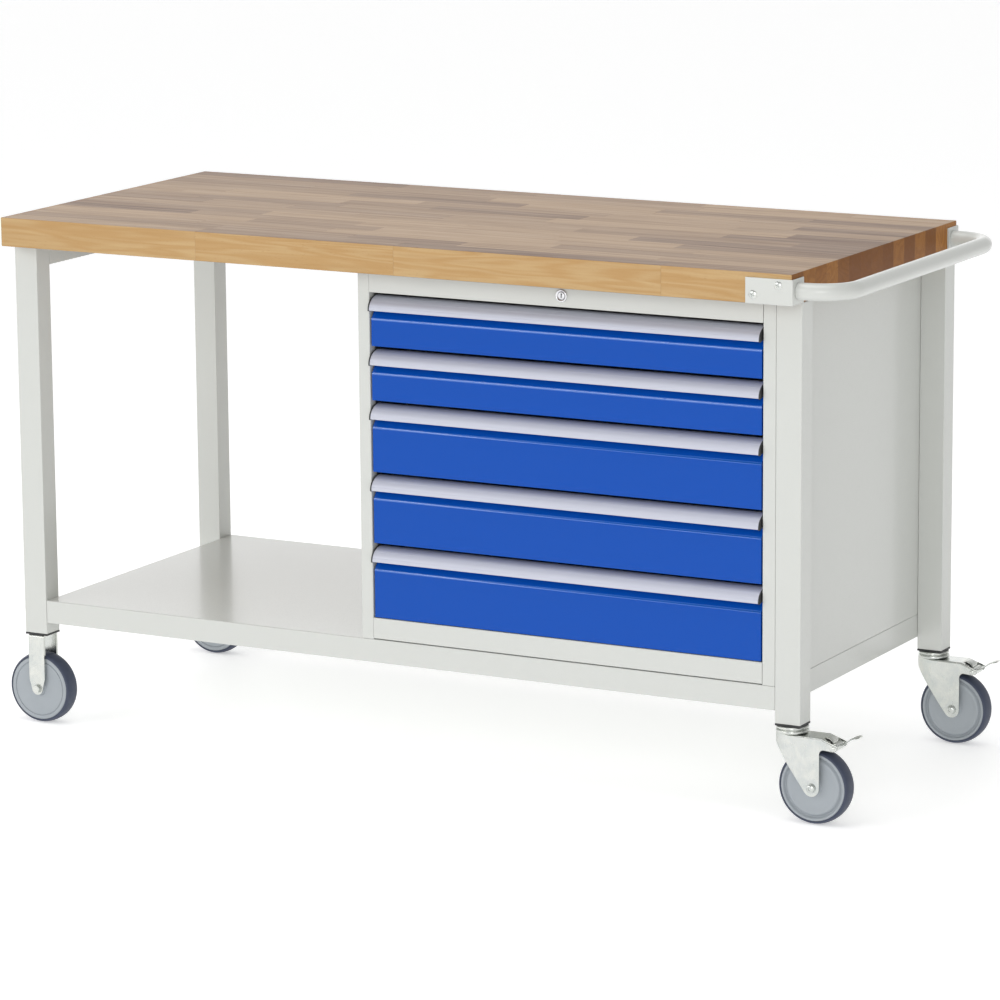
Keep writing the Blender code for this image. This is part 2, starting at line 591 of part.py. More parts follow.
def make_fixed_caster(end, finishes, bench):
    """Rigid caster under a left leg: a U-shaped fork with its stem, and the wheel right under the leg."""
    label = f"{end}_left"
    place = empty(f"caster_place_{label}", (LEG_X["left"], LEG_Y[end], 0), bench)
    axle = empty(f"wheel_axis_{label}", (0, 0, WHEEL_RADIUS), place)
    half, tip = 16.0, 11.0
    low = WHEEL_RADIUS
    outline = [(-half, HEAD_TOP), (-half, low + 18)]
    outline += [(x, z) for x, z in arc((0, low), (tip, tip), 190, 350, 8)]
    outline += [(half, low + 18), (half, HEAD_TOP)]
    outer = FORK_INNER + FORK_SHEET
    fork = prism(f"fork_{label}", outline, "Y", -outer, outer, finishes["zinc"], place)
    cut_fork(fork, label, place, axle, HEAD_TOP - FORK_SHEET, finishes)
    foot, head = HEAD_TOP - 1, STEM_TOP
    stem = turned(f"stem_{label}", [(0, foot), (STEM_RADIUS, foot), (STEM_RADIUS, head), (0, head)],
                  "Z", ROUND_SEGMENTS, finishes["zinc"], place, closed=False)
    combine(fork, stem, "UNION")
    make_wheel(label, axle, finishes)
    make_axle(label, axle, finishes)


def make_swivel_fork(label, swivel, axle, finishes):
    """Pressed fork: a roof over the wheel, two cheeks down to the axle and horns that hold the pedal."""
    x, z = SWIVEL_TRAIL, WHEEL_RADIUS
    roof = SWIVEL_ROOF
    outline = [(2 - HEAD_RADIUS, roof), (-HEAD_RADIUS, roof - 12)]
    outline += arc((x, z), (14, 14), 215, 360, 8)
    outline += [(x + 14, z + 61), (x + 19, z + 66), (x + 38, z + 64.5), (x + 43, z + 66), (x + 45, z + 74),
                (x + 16, roof)]
    outer = FORK_INNER + FORK_SHEET
    fork = prism(f"fork_{label}", outline, "Y", -outer, outer, finishes["zinc"], swivel)
    cut_fork(fork, label, swivel, axle, roof - FORK_SHEET, finishes)
    slot = block(f"fork_mouth_{label}", (x + 18, -FORK_INNER, z), (x + 60, FORK_INNER, roof + 5),
                 finishes["zinc"], swivel)
    combine(fork, slot, "DIFFERENCE")
    running = STEM_RADIUS + 0.5
    hole = turned(f"king_pin_hole_{label}", [(0, 110), (running, 110), (running, 160), (0, 160)],
                  "Z", ROUND_SEGMENTS, finishes["zinc"], swivel, closed=False)
    combine(fork, hole, "DIFFERENCE")


def make_pedal(label, swivel, finishes):
    """Brake pedal between the fork's horns. It turns about the pin through them."""
    back, up = PEDAL_PIN
    pivot = empty(f"pedal_axis_{label}", (SWIVEL_TRAIL + back, 0, WHEEL_RADIUS + up), swivel)
    reach = PEDAL_TIP - SWIVEL_TRAIL - back
    line = [(-14, 8), (-7, 4), (6, 4), (13, 8), (22, 9), (reach - 10, 20), (reach, 20)]
    pedal = prism(f"brake_pedal_{label}", folded(line, -2.5), "Y", -17, 17, finishes["zinc"], pivot)
    boss = turned(f"pedal_boss_{label}", [(0, -18.5), (4, -18.5), (4, 18.5), (0, 18.5)], "Y", 12,
                  finishes["zinc"], pivot, closed=False)
    combine(pedal, boss, "UNION")


def make_swivel_caster(end, finishes, bench):
    """Braked caster under a right leg. The head stays with the leg, and the fork turns below it."""
    label = f"{end}_right"
    swivel = empty(f"swivel_axis_{label}", (LEG_X["right"], LEG_Y[end], 0), bench)
    axle = empty(f"wheel_axis_{label}", (SWIVEL_TRAIL, 0, WHEEL_RADIUS), swivel)
    top, wide, roof = HEAD_TOP, HEAD_RADIUS, SWIVEL_ROOF
    head = [(0, STEM_TOP), (STEM_RADIUS, STEM_TOP), (STEM_RADIUS, top),
            (wide - 3, top), (wide - 1, top - 1.5), (wide - 1, top - 4), (wide - 3, top - 5.5),
            (wide, top - 7), (wide, top - 10), (wide - 3, roof + 0.5), (STEM_RADIUS, roof + 0.5),
            (STEM_RADIUS, roof - 3.5), (9, roof - 3.5), (9, roof - 6), (6, roof - 7.5), (0, roof - 7.5)]
    turned(f"caster_head_{label}", head, "Z", ROUND_SEGMENTS + 4, finishes["zinc"], swivel, closed=False)
    make_swivel_fork(label, swivel, axle, finishes)
    make_wheel(label, axle, finishes)
    make_axle(label, axle, finishes)
    make_pedal(label, swivel, finishes)


# ---------------------------------------------------------------- push handle
def handle_path():
    """Centreline of the handle tube and its direction of travel in plan, as (x, y, angle) points."""
    start = WORKTOP_LENGTH + GAP + BRACKET_SHEET + GAP
    grip = WORKTOP_LENGTH + HANDLE_REACH
    front, rear = HANDLE_INSET, WORKTOP_DEPTH - HANDLE_INSET
    points = [(start, front, 0.0)]
    steps = 6
    for k in range(steps + 1):
        turn = math.pi / 2 * k / steps
        points.append((grip - HANDLE_BEND + HANDLE_BEND * math.sin(turn),
                       front + HANDLE_BEND - HANDLE_BEND * math.cos(turn), turn))
    for k in range(steps + 1):
        turn = math.pi / 2 * (1 + k / steps)
        points.append((grip - HANDLE_BEND + HANDLE_BEND * math.sin(turn),
                       rear - HANDLE_BEND - HANDLE_BEND * math.cos(turn), turn))
    points.append((start, rear, math.pi))
    return points


def make_handle_tube(finishes, bench):
    """Bent tube with open ends, swept ring by ring along its centreline."""
    segments = 16
    level = BENCH_HEIGHT - HANDLE_DROP
    shape = bmesh.new()
    outer, inner = [], []
    for x, y, turn in handle_path():
        side = Vector((math.sin(turn), -math.cos(turn), 0))
        centre = Vector((x, y, level))
        for rings, radius in ((outer, HANDLE_TUBE), (inner, HANDLE_TUBE - HANDLE_WALL)):
            ring = []
            for k in range(segments):
                angle = math.tau * k / segments
                offset = side * math.cos(angle) + Vector((0, 0, 1)) * math.sin(angle)
                ring.append(shape.verts.new(centre + offset * radius))
            rings.append(ring)
    pairs = list(zip(outer, outer[1:])) + list(zip(inner, inner[1:]))
    pairs += [(outer[0], inner[0]), (outer[-1], inner[-1])]
    for one, other in pairs:
        for k in range(segments):
            n = (k + 1) % segments
            shape.faces.new((one[k], one[n], other[n], other[k]))
    finish_mesh("handle_tube", shape, finishes["grey_paint"], bench, smooth=True)


def make_handle_brackets(finishes, bench):
    """Angle plates that wrap the worktop's right corners and carry the tube's ends."""
    left, right = WORKTOP_LENGTH + GAP - BRACKET_LENGTH, WORKTOP_LENGTH + GAP + BRACKET_SHEET
    low = WORKTOP_BOTTOM
    front = [(left, -GAP - BRACKET_SHEET), (right, -GAP - BRACKET_SHEET), (right, BRACKET_SIDE)]
    rear = [(x, WORKTOP_DEPTH - y) for x, y in front]
    prism("handle_bracket_front", folded(front, BRACKET_SHEET), "Z", low, low + BRACKET_HEIGHT,
          finishes["grey_paint"], bench)
    prism("handle_bracket_rear", folded(rear, -BRACKET_SHEET), "Z", low, low + BRACKET_HEIGHT,
          finishes["grey_paint"], bench)


# ---------------------------------------------------------------- whole bench
def make_bench():
    clear_scene()
    finishes = make_materials()
    bench = empty("bench_origin", (-X_MIDDLE, -Y_MIDDLE, 0))
    make_worktop(finishes, bench)
    make_legs(finishes, bench)
    make_left_rail(finishes, bench)
    make_shelf(finishes, bench)
    for end in LEG_Y:
        for side in LEG_X:
            make_plug(end, side, finishes, bench)
    make_side_walls(finishes, bench)
    make_rear_wall(finishes, bench)
    make_front_rails(finishes, bench)
    make_runner_panels(finishes, bench)
    make_drawers(finishes, bench)
    make_lock(finishes, bench)
    make_crossbar(finishes, bench)
    make_locking_upright(finishes, bench)
    for end in LEG_Y:
        make_fixed_caster(end, finishes, bench)
        make_swivel_caster(end, finishes, bench)
    make_handle_tube(finishes, bench)
    make_handle_brackets(finishes, bench)


make_bench()
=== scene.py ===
"""Looks of the mobile workbench: beech, powder coat, anodised grips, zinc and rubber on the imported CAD.

Lengths are in metres in the row frame; MM turns millimetres into metres. Places come from the CAD
nodes' boxes. Every piece rides on the body of the CAD node that it stands for.
"""
import json
import math
import random

import bmesh
import bpy
from mathutils import Matrix, Vector


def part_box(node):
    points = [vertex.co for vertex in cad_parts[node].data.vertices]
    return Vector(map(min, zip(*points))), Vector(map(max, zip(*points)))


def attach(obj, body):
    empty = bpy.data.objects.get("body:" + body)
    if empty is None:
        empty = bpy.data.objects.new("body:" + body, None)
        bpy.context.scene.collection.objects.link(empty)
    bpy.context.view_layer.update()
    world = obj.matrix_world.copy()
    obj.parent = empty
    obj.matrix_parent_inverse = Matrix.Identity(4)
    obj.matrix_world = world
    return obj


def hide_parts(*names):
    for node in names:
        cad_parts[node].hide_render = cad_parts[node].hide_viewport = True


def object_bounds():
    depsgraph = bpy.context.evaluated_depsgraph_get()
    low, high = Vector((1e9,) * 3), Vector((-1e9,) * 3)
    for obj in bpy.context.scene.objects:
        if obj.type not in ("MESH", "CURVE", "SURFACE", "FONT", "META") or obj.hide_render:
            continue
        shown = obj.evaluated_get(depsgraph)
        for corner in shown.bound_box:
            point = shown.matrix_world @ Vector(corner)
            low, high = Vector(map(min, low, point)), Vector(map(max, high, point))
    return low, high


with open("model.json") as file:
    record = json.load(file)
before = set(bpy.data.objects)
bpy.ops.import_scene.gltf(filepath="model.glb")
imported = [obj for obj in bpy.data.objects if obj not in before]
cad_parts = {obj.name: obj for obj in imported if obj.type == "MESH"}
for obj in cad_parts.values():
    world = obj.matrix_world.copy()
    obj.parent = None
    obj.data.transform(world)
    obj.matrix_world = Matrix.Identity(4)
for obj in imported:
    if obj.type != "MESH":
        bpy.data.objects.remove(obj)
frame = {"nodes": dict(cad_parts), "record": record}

CAD_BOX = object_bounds()
MM = 0.001
WELD = 1e-6                             # points nearer than this are one point
SEGMENTS = 72                           # faces round a turned shape
CORNER_STEPS = 5                        # faces of a corner in a filleted outline
CUT_EDGE = 3.2 * MM                     # faces no wider than this are a sheet's cut edges
NOISE_RANGE = (0.3, 0.7)                # where nearly all of a noise's values lie
RANGE_SOCKETS = ("From Min", "From Max", "To Min", "To Max")
NOISE_SOCKETS = ("Scale", "Detail", "Roughness", "Distortion")
MIX_SOCKETS = (0, 6, 7)                 # share, first colour and second colour
BODIES = frame["record"]["behaviour"]["bodies"]
BODY_OF = {node: body for body, nodes in BODIES.items() for node in nodes}

# ---- camera and light
CAMERA_HEADING = 28.41                  # degrees to the right of the bench's middle line
CAMERA_PITCH = 11.61                    # degrees above the horizon
CAMERA_ROLL = 0.46                      # degrees
CAMERA_LENS, SENSOR_WIDTH = 167.7, 36.0  # mm
CAMERA_DISTANCE = 8.0455
CAMERA_REACH = 200.0                    # how far away the camera still sees the floor
CAMERA_AIM = Vector((0.0153, 0.0002, -0.0345))  # from the middle of the box

WALL_TONE, CEILING_TONE = (1.25, 1.25, 1.25), (0.55, 0.55, 0.55)
WALL_TOP, CEILING_START = 0.20, 0.65    # heights of the room's tones on a unit sphere
LEFT_STRENGTHS, RIGHT_STRENGTHS = (0.86, 1.55), (1.00, 0.12)  # of the room, front and back
FLOOR_GLOW = 0.39
FLOOR_SIZE = 60.0                       # middle to edge
LIGHT_AIM = Vector((0, 0, 0.5))
LIGHTS = (                              # name, place, size and power
    ("key", (-4.5, -6.4, 4.3), (5.0, 1.4), 83.0),
    ("fill", (2.8, -6.5, 2.6), (2.4, 2.4), 76.0),
    ("top", (-0.2, -0.4, 4.2), (3.6, 2.4), 52.0),
)

# ---- colours, in pairs that a pattern mixes
GREY_PAINT = (0.572, 0.584, 0.556), (0.560, 0.572, 0.544)
BLUE_PAINT = (0.001, 0.067, 0.392), (0.001, 0.064, 0.380)
# a lighter blue for the drawer fronts' upper bends: a painted highlight
BLUE_PAINTED_HIGHLIGHT = (0.008, 0.110, 0.500), (0.008, 0.106, 0.490)
ALUMINIUM = (0.535, 0.550, 0.630), (0.500, 0.515, 0.590)
ZINC = (0.57, 0.595, 0.575), (0.665, 0.675, 0.635)
CHROME = (0.78, 0.78, 0.79), (0.70, 0.70, 0.72)
TYRE = (0.036, 0.046, 0.080), (0.044, 0.055, 0.092)
HUB = (0.335, 0.365, 0.390), (0.315, 0.344, 0.370)
BLACK = (0.020, 0.021, 0.022), (0.028, 0.029, 0.030)
# the top's stave tones and the streaks, lines and flecks over them hold painted sheen: they are lifted
# and greyed by a share that stands in for the white reflection off the oiled top
STAVE_TONES_WITH_SHEEN = (0.142, 0.078, 0.048), (0.376, 0.250, 0.147)
EDGE_TONES = (0.450, 0.290, 0.135), (0.512, 0.352, 0.176)
END_TONES = (0.180, 0.060, 0.009), (0.420, 0.178, 0.034)
PALE_STREAK, DARK_STREAK = (0.465, 0.330, 0.210), (0.165, 0.093, 0.058)
STAVE_LINE, STAVE_FLECK = (0.258, 0.164, 0.102), (0.185, 0.125, 0.088)
EDGE_LINE, EDGE_FLECK = (0.400, 0.215, 0.070), (0.30, 0.15, 0.05)
END_ARC, END_PORE = (0.17, 0.058, 0.010), (0.12, 0.040, 0.007)

# ---- wood
STAVE_SEED = 41
STAVE_ROWS = 15
STAVE_SHORTEST, STAVE_LONGEST = 0.17, 0.46
FIRST_SHORTEST, LAST_SHORTEST = 0.08, 0.06  # a row may start and end with less than a whole stave
FRONT_JOINTS = (0.394, 0.778, 1.27)     # butt joints of the front row, from the left end
STAVE_CHAMFER = 0.15 * MM
EDGE_RADIUS = 1.2 * MM
TONE_SPREAD = 1.2                       # of a beta distribution: 1 is even, more is milder
GRAIN_SHIFT = 40                        # each stave's pattern starts elsewhere
SIDEWAYS = 0.72                         # part of a normal that makes a face an edge or an end

# ---- grips
PANEL_BEND = 2.4 * MM                   # radius of a drawer front's upper bend
GRIP_SHEET = 2.0 * MM
GRIP_LIP = 2.0 * MM
NOSE_STEPS = 30
GRIP_GROOVES = (49.0, 78.0)             # degrees down from the top of the nose
GROOVE_HALF, GROOVE_DEPTH = 0.8, 0.4 * MM  # half its width in degrees, and its depth
FLANGE_SETBACK = 5.8 * MM               # strip's rear edge to the flange's rear face
FLANGE_DROP = 15.5 * MM
REAR_STEP = 2.7 * MM                    # strip's thickness over the drawer front's web
CAP_THICKNESS = 2.2 * MM
CAP_PROUD = 0.9 * MM
CAP_START, CAP_HEEL = 14, 3 * MM        # degrees down from the nose's top, and above its axis

# ---- lock, in mm
ROSETTE_DEPTH = 3
ROSETTE = ((6.6, 20), (6.6, -0.9), (7.4, -1.9), (8.2, -2.7), (9.0, -3.0), (9.8, -2.8), (10.3, -2.2),
           (10.5, -1.2), (10.5, -0.3), (9.0, -0.3), (9.0, 20))
PLUG = ((0, -2.0), (5.2, -2.0), (5.9, -1.7), (6.3, -1.0), (6.3, 22.5), (0, 22.5))
KEYWAY = ((-0.9, -3.6), (0.9, -3.6), (0.9, 1.0), (1.7, 1.6), (1.7, 3.2), (0.7, 4.0), (-0.7, 4.0),
          (-0.9, 3.4))
KEYWAY_ENDS = (-5, 8)
CRANK, CRANK_CORNER = ((-5, -6), (5, -6), (5, 15), (-5, 15)), 4.5
CRANK_ENDS = (22.5, 24)
CRANK_PIN, CRANK_REACH = ((0, 24), (2, 24), (2, 28), (0, 28)), 11

# ---- casters
FAR = 0.1                               # past every face of a caster that a tool cuts
SHEET = 2.5 * MM
FORK_HALF = 22.0 * MM                   # wheel's middle plane to a cheek's outer face
TYRE_INNER, RIM_RADIUS = 56.8 * MM, 56.5 * MM
TREAD_STEPS, TREAD_POWER = 28, 0.75
AXLE_BORE = 5.3 * MM
AXLE_SHANK = 5.0 * MM
AXLE_HEXAGON = 7.5 * MM
FIXED_ROOF = 96.9 * MM                  # above the axle
FIXED_HALF_WIDTH = 16.0 * MM
FIXED_TIP = 11.0 * MM
FIXED_TAPER_START = 18.0 * MM           # above the axle
TURNED_EDGE = 4.5 * MM                  # how deep a fixed cheek's edges are folded
NOSE_REACH = 27.5 * MM                  # swivel axis to the front of the nose
NOSE_POWER = 2.3                        # 2 is an ellipse, more is squarer
NOSE_RING_STEPS = 26
NOSE_TOP_BEND, NOSE_FOOT_BEND = 13.0 * MM, 38.0 * MM
NOSE_TOP, NOSE_FOOT = 150.0 * MM, 40.0 * MM
HEAD_TOP = 159.4                        # mm above the floor
PEDAL_FROM_AXLE = Vector((37.0, 0.0, 69.5)) * MM  # wheel's axle to the brake pedal's pin
HEAD_GROOVE = 3.2 * MM                  # how deep the swivel head is waisted
STRIP_POINTS = 24                       # round a pressed strip's section
FIXED_HUB = ((5.4, 19), (11.6, 19), (12.6, 18.4), (13.2, 16.4), (14.2, 15.2), (30, 15.1), (47.4, 15.2),
             (48.0, 14.9), (48.3, 14.0), (49.3, 14.0), (49.6, 14.9), (50.2, 15.5), (53.0, 15.8),
             (55.4, 15.6), (56.3, 15.1))
SWIVEL_HUB = ((5.4, 19), (11.6, 19), (12.6, 18.4), (13.4, 15.0), (15.0, 13.2), (22, 12.4), (30, 12.2),
              (36, 12.5), (40, 13.4), (43, 14.2), (45, 14.1), (46.6, 13.0), (47.8, 11.2), (49.0, 10.6),
              (50.2, 10.9), (51.4, 12.6), (52.2, 14.8), (53.0, 15.5), (54.4, 15.7), (55.6, 15.5),
              (56.3, 15.0))

# ---- handle
TUBE_WALL = 2.0 * MM
TUBE_BEND = 60.0 * MM
TUBE_SEGMENTS, BEND_STEPS = 48, 24
SCREW_SPOTS = ((13.2, 14.6), (57.2, 31.6))  # mm from a bracket's inner end and its lower edge
SCREW_HEAD, SCREW_HEIGHT = 7.2 * MM, 2.4 * MM
RECESS_REACH, RECESS_HALF, RECESS_DEPTH = 3.6, 0.7, 1.3  # of the cross in a screw's head, in mm
RECESS_TURN = 28                        # degrees


# ---- shape helpers
def box_of(node):
    """A CAD node's lowest and highest corners, and its middle."""
    low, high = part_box(node)
    return low, high, (low + high) / 2


def in_metres(points, facing=1):
    """A profile given in mm. Its second value is mirrored where facing is -1."""
    return [(u * MM, facing * v * MM) for u, v in points]


def around(centre, points):
    """Points of (x, z) in mm from a centre."""
    return [(centre.x + x * MM, centre.z + z * MM) for x, z in points]


def clean(shape, weld, degrees):
    """Welds points that coincide, and makes faces that lie in one plane whole again."""
    bmesh.ops.remove_doubles(shape, verts=shape.verts, dist=weld)
    bmesh.ops.dissolve_limit(shape, angle_limit=math.radians(degrees), verts=shape.verts,
                             edges=shape.edges)


def cad_shape(node):
    """A working copy of a CAD node."""
    shape = bmesh.new()
    shape.from_mesh(frame["nodes"][node].data)
    clean(shape, 10 * WELD, 0.6)
    return shape


def face_width(face):
    """A long face's width."""
    return face.calc_area() / max(edge.calc_length() for edge in face.edges)


def bevel(shape, edges, radius, segments):
    """Rounds edges and returns the new faces."""
    if not edges:
        return []
    return bmesh.ops.bevel(shape, geom=edges, offset=radius, offset_type="OFFSET", segments=segments,
                           profile=0.5, affect="EDGES", clamp_overlap=True)["faces"]


def convex(edge, least=35.0):
    """Whether an edge sticks out by at least so many degrees."""
    return len(edge.link_faces) == 2 and edge.calc_face_angle_signed(0.0) > math.radians(least)


def square_to(edge, *axes):
    """Whether an edge has one place along each of these axes, 0 for x to 2 for z."""
    first, last = edge.verts
    return all(abs(first.co[axis] - last.co[axis]) < WELD for axis in axes)


def round_edges(shape, bend, rim):
    """Rounds a sheet's outer bends by one radius, and its cut edges by a smaller one."""
    wide = [e for e in shape.edges
            if convex(e) and min(face_width(f) for f in e.link_faces) > CUT_EDGE]
    bevel(shape, wide, bend, 4)
    if rim:
        cut = [e for e in shape.edges if convex(e, 50.0)]
        bevel(shape, cut, rim, 2)
    return shape


def axis_point(axis, u, v, along):
    """The point at a place along an axis, and at u and v on the other two axes in order."""
    if axis == "X":
        return Vector((along, u, v))
    if axis == "Y":
        return Vector((u, along, v))
    return Vector((u, v, along))


def loft(rings, shape=None, cyclic=False):
    """A closed surface through rings of as many points each."""
    shape = shape or bmesh.new()
    rows = [[shape.verts.new(point) for point in ring] for ring in rings]
    pairs = list(zip(rows, rows[1:]))
    if cyclic:
        pairs.append((rows[-1], rows[0]))
    else:
        shape.faces.new(rows[0])
        shape.faces.new(rows[-1][::-1])
    for one, other in pairs:
        for k in range(len(one)):
            n = (k + 1) % len(one)
            shape.faces.new((one[k], one[n], other[n], other[k]))
    bmesh.ops.recalc_face_normals(shape, faces=shape.faces)
    return shape


def prism(outline, axis, start, end, shape=None):
    """An outline pulled along an axis. It reads (y, z), (x, z) or (x, y)."""
    rings = [[axis_point(axis, u, v, along) for u, v in outline] for along in (start, end)]
    return loft(rings, shape)


def block(low, high):
    """A box between two corners."""
    plan = [(low[0], low[1]), (high[0], low[1]), (high[0], high[1]), (low[0], high[1])]
    return prism(plan, "Z", low[2], high[2])


def arc(centre, radius, start, end, steps):
    """Points of an arc, angles in degrees."""
    angles = [math.radians(start + (end - start) * k / steps) for k in range(steps + 1)]
    return [(centre[0] + radius * math.cos(a), centre[1] + radius * math.sin(a)) for a in angles]


def spline(points, count):
    """A smooth curve through points, read at count places on each stretch."""
    padded = [points[0], *points, points[-1]]
    curve = []
    for k in range(len(points) - 1):
        before, start, end, after = padded[k:k + 4]
        for step in range(count):
            t = step / count
            weights = (-0.5 * t + t * t - 0.5 * t ** 3, 1 - 2.5 * t * t + 1.5 * t ** 3,
                       0.5 * t + 2 * t * t - 1.5 * t ** 3, -0.5 * t * t + 0.5 * t ** 3)
            curve.append(tuple(sum(w * p[axis] for w, p in zip(weights, (before, start, end, after)))
                               for axis in range(len(start))))
    return curve + [points[-1]]


def turned(profile, axis, centre, segments=SEGMENTS, shape=None, closed=True):
    """A profile of (radius, place along the axis) points spun about an axis through centre."""
    shape = shape or bmesh.new()
    rings = []
    for radius, along in profile:
        if radius < WELD:
            rings.append([shape.verts.new(centre + axis_point(axis, 0, 0, along))])
            continue
        ring = []
        for k in range(segments):
            angle = math.tau * k / segments
            spot = axis_point(axis, radius * math.cos(angle), radius * math.sin(angle), along)
            ring.append(shape.verts.new(centre + spot))
        rings.append(ring)
    pairs = list(zip(rings, rings[1:]))
    if closed:
        pairs.append((rings[-1], rings[0]))
    for one, other in pairs:
        for k in range(segments):
            n = (k + 1) % segments
            corners = [one[k % len(one)], one[n % len(one)],
                       other[n % len(other)], other[k % len(other)]]
            corners = list(dict.fromkeys(corners))
            if len(corners) > 2:
                shape.faces.new(corners)
    bmesh.ops.recalc_face_normals(shape, faces=shape.faces)
    return shape


def filleted(points, radius):
    """A closed outline with its corners rounded by one radius, or each by its own from a list."""
    rounded = []
    count = len(points)
    for k, point in enumerate(points):
        here = Vector(point)
        before = Vector(points[k - 1]) - here
        after = Vector(points[(k + 1) % count]) - here
        size = radius[k] if isinstance(radius, list) else radius
        angle = before.angle(after)
        if size <= 0 or angle > math.radians(176):
            rounded.append(tuple(here))
            continue
        reach = min(size / math.tan(angle / 2), before.length * 0.49, after.length * 0.49)
        size = reach * math.tan(angle / 2)
        first, last = before.normalized(), after.normalized()
        middle = here + (first + last).normalized() * (size / math.sin(angle / 2))
        start = here + first * reach - middle
        end = here + last * reach - middle
        sweep = start.angle(end)
        for step in range(CORNER_STEPS + 1):
            share = step / CORNER_STEPS
            arm = start
            if sweep >= 1e-4:
                arm = start * math.sin((1 - share) * sweep) + end * math.sin(share * sweep)
                arm = arm / math.sin(sweep)
            rounded.append(tuple(middle + arm))
    return rounded


def new_object(name, data):
    """Makes an object of some data and puts it in the scene."""
    made = bpy.data.objects.new(name, data)
    bpy.context.scene.collection.objects.link(made)
    return made


def mesh_object(name, shape):
    """Makes an object of a shape, which is freed."""
    mesh = bpy.data.meshes.new(name)
    shape.to_mesh(mesh)
    shape.free()
    return new_object(name, mesh)


def combined(first, second, operation):
    """The Boolean result of two shapes, as a new shape."""
    pair = [mesh_object("combining", shape) for shape in (first, second)]
    step = pair[0].modifiers.new("combine", "BOOLEAN")
    step.object = pair[1]
    step.operation = operation
    step.solver = "EXACT"
    bpy.context.view_layer.update()
    graph = bpy.context.evaluated_depsgraph_get()
    result = bmesh.new()
    result.from_mesh(pair[0].evaluated_get(graph).to_mesh())
    for made in pair:
        bpy.data.meshes.remove(made.data)
    clean(result, WELD, 0.4)
    return result


def merge(part, shape):
    """Adds a part's faces to a shape, frees the part and returns the new faces."""
    copies = {vert: shape.verts.new(vert.co) for vert in part.verts}
    faces = [shape.faces.new([copies[vert] for vert in face.verts]) for face in part.faces]
    part.free()
    return faces


def add_piece(name, shape, finish, node, replaced=(), crease=38.0):
    """Makes a shape a piece that rides where a CAD node rides, and gives it the material of its finish.
    """
    piece = mesh_object(name, shape)
    piece.data.shade_smooth()
    piece.data.set_sharp_from_angle(angle=math.radians(crease))
    piece.data.materials.append(finish[0])
    even = piece.modifiers.new("even_normals", "WEIGHTED_NORMAL")
    even.keep_sharp = True
    even.weight = 80
    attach(piece, BODY_OF[node])
    if replaced:
        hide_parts(*replaced)
    return piece


def stand_in(node, shape, finish, crease=38.0):
    """Makes a shape the piece that stands for a CAD node."""
    return add_piece("v_" + node, shape, finish, node, (node,), crease)


def refine(node, finish, bend, rim=0.35 * MM):
    """Stands in for a CAD node with the same shape, its bends and edges rounded."""
    return stand_in(node, round_edges(cad_shape(node), bend, rim), finish)


# ---- finishes
class Nodes:
    """A node tree under construction."""

    def __init__(self, tree):
        self.tree = tree

    def add(self, kind, **settings):
        node = self.tree.nodes.new("ShaderNode" + kind)
        for name, value in settings.items():
            setattr(node, name, value)
        return node

    def join(self, output, target):
        self.tree.links.new(output, target)

    def feed(self, socket, value):
        """Gives a socket a plain colour, a plain number or another node's output."""
        if isinstance(value, tuple):
            socket.default_value = (*value, 1.0)
        elif isinstance(value, (int, float)):
            socket.default_value = value
        else:
            self.join(value, socket)

    def spread(self, value, low, high, to_low, to_high, interpolation="LINEAR"):
        """Maps a range of a value onto another, without going past it."""
        node = self.add("MapRange", interpolation_type=interpolation)
        self.join(value, node.inputs["Value"])
        for socket, number in zip(RANGE_SOCKETS, (low, high, to_low, to_high)):
            node.inputs[socket].default_value = number
        return node.outputs["Result"]

    def math(self, operation, first, second=0.0):
        node = self.add("Math", operation=operation)
        for socket, value in zip(node.inputs, (first, second)):
            self.feed(socket, value)
        return node.outputs[0]

    def blend(self, share, first, second):
        """Mixes two colours. Each is a socket or a plain colour."""
        node = self.add("Mix", data_type="RGBA")
        for number, value in zip(MIX_SOCKETS, (share, first, second)):
            self.feed(node.inputs[number], value)
        return node.outputs[2]


class Recipe(Nodes):
    """A Principled material under construction."""

    def __init__(self, name, **sockets):
        self.material = bpy.data.materials.new(name)
        self.material.use_nodes = True
        super().__init__(self.material.node_tree)
        self.shader = self.tree.nodes["Principled BSDF"]
        for socket, value in sockets.items():
            self.feed(self.shader.inputs[socket.replace("_", " ")], value)
        self.place = self.add("TexCoord").outputs["Object"]

    def scaled(self, scale, source=None):
        """The place on the piece, stretched by a factor along each axis."""
        node = self.add("Mapping")
        node.inputs["Scale"].default_value = scale
        self.join(source or self.place, node.inputs["Vector"])
        return node.outputs["Vector"]

    def noise(self, scale, detail=3.0, roughness=0.5, distortion=0.0, place=None):
        node = self.add("TexNoise")
        self.join(place or self.place, node.inputs["Vector"])
        for socket, value in zip(NOISE_SOCKETS, (scale, detail, roughness, distortion)):
            node.inputs[socket].default_value = value
        return node.outputs["Fac"]

    def between(self, pattern, colours, low=NOISE_RANGE[0], high=NOISE_RANGE[1]):
        """A colour that goes from one to another as a pattern goes from low to high."""
        return self.blend(self.spread(pattern, low, high, 0.0, 1.0), *colours)

    def layered(self, base, *layers):
        """A colour with more laid over it, where a pattern goes from low to high, up to a share."""
        for pattern, low, high, share, colour in layers:
            base = self.blend(self.spread(pattern, low, high, 0.0, share), base, colour)
        return base

    def bump(self, height, strength, distance):
        node = self.add("Bump")
        node.inputs["Strength"].default_value = strength
        node.inputs["Distance"].default_value = distance
        self.join(height, node.inputs["Height"])
        self.join(node.outputs["Normal"], self.shader.inputs["Normal"])

    def colour(self, output):
        self.join(output, self.shader.inputs["Base Color"])

    def rough(self, pattern, start, end, low=NOISE_RANGE[0], high=NOISE_RANGE[1]):
        """Roughness that goes from start to end as a pattern goes from low to high."""
        self.join(self.spread(pattern, low, high, start, end), self.shader.inputs["Roughness"])


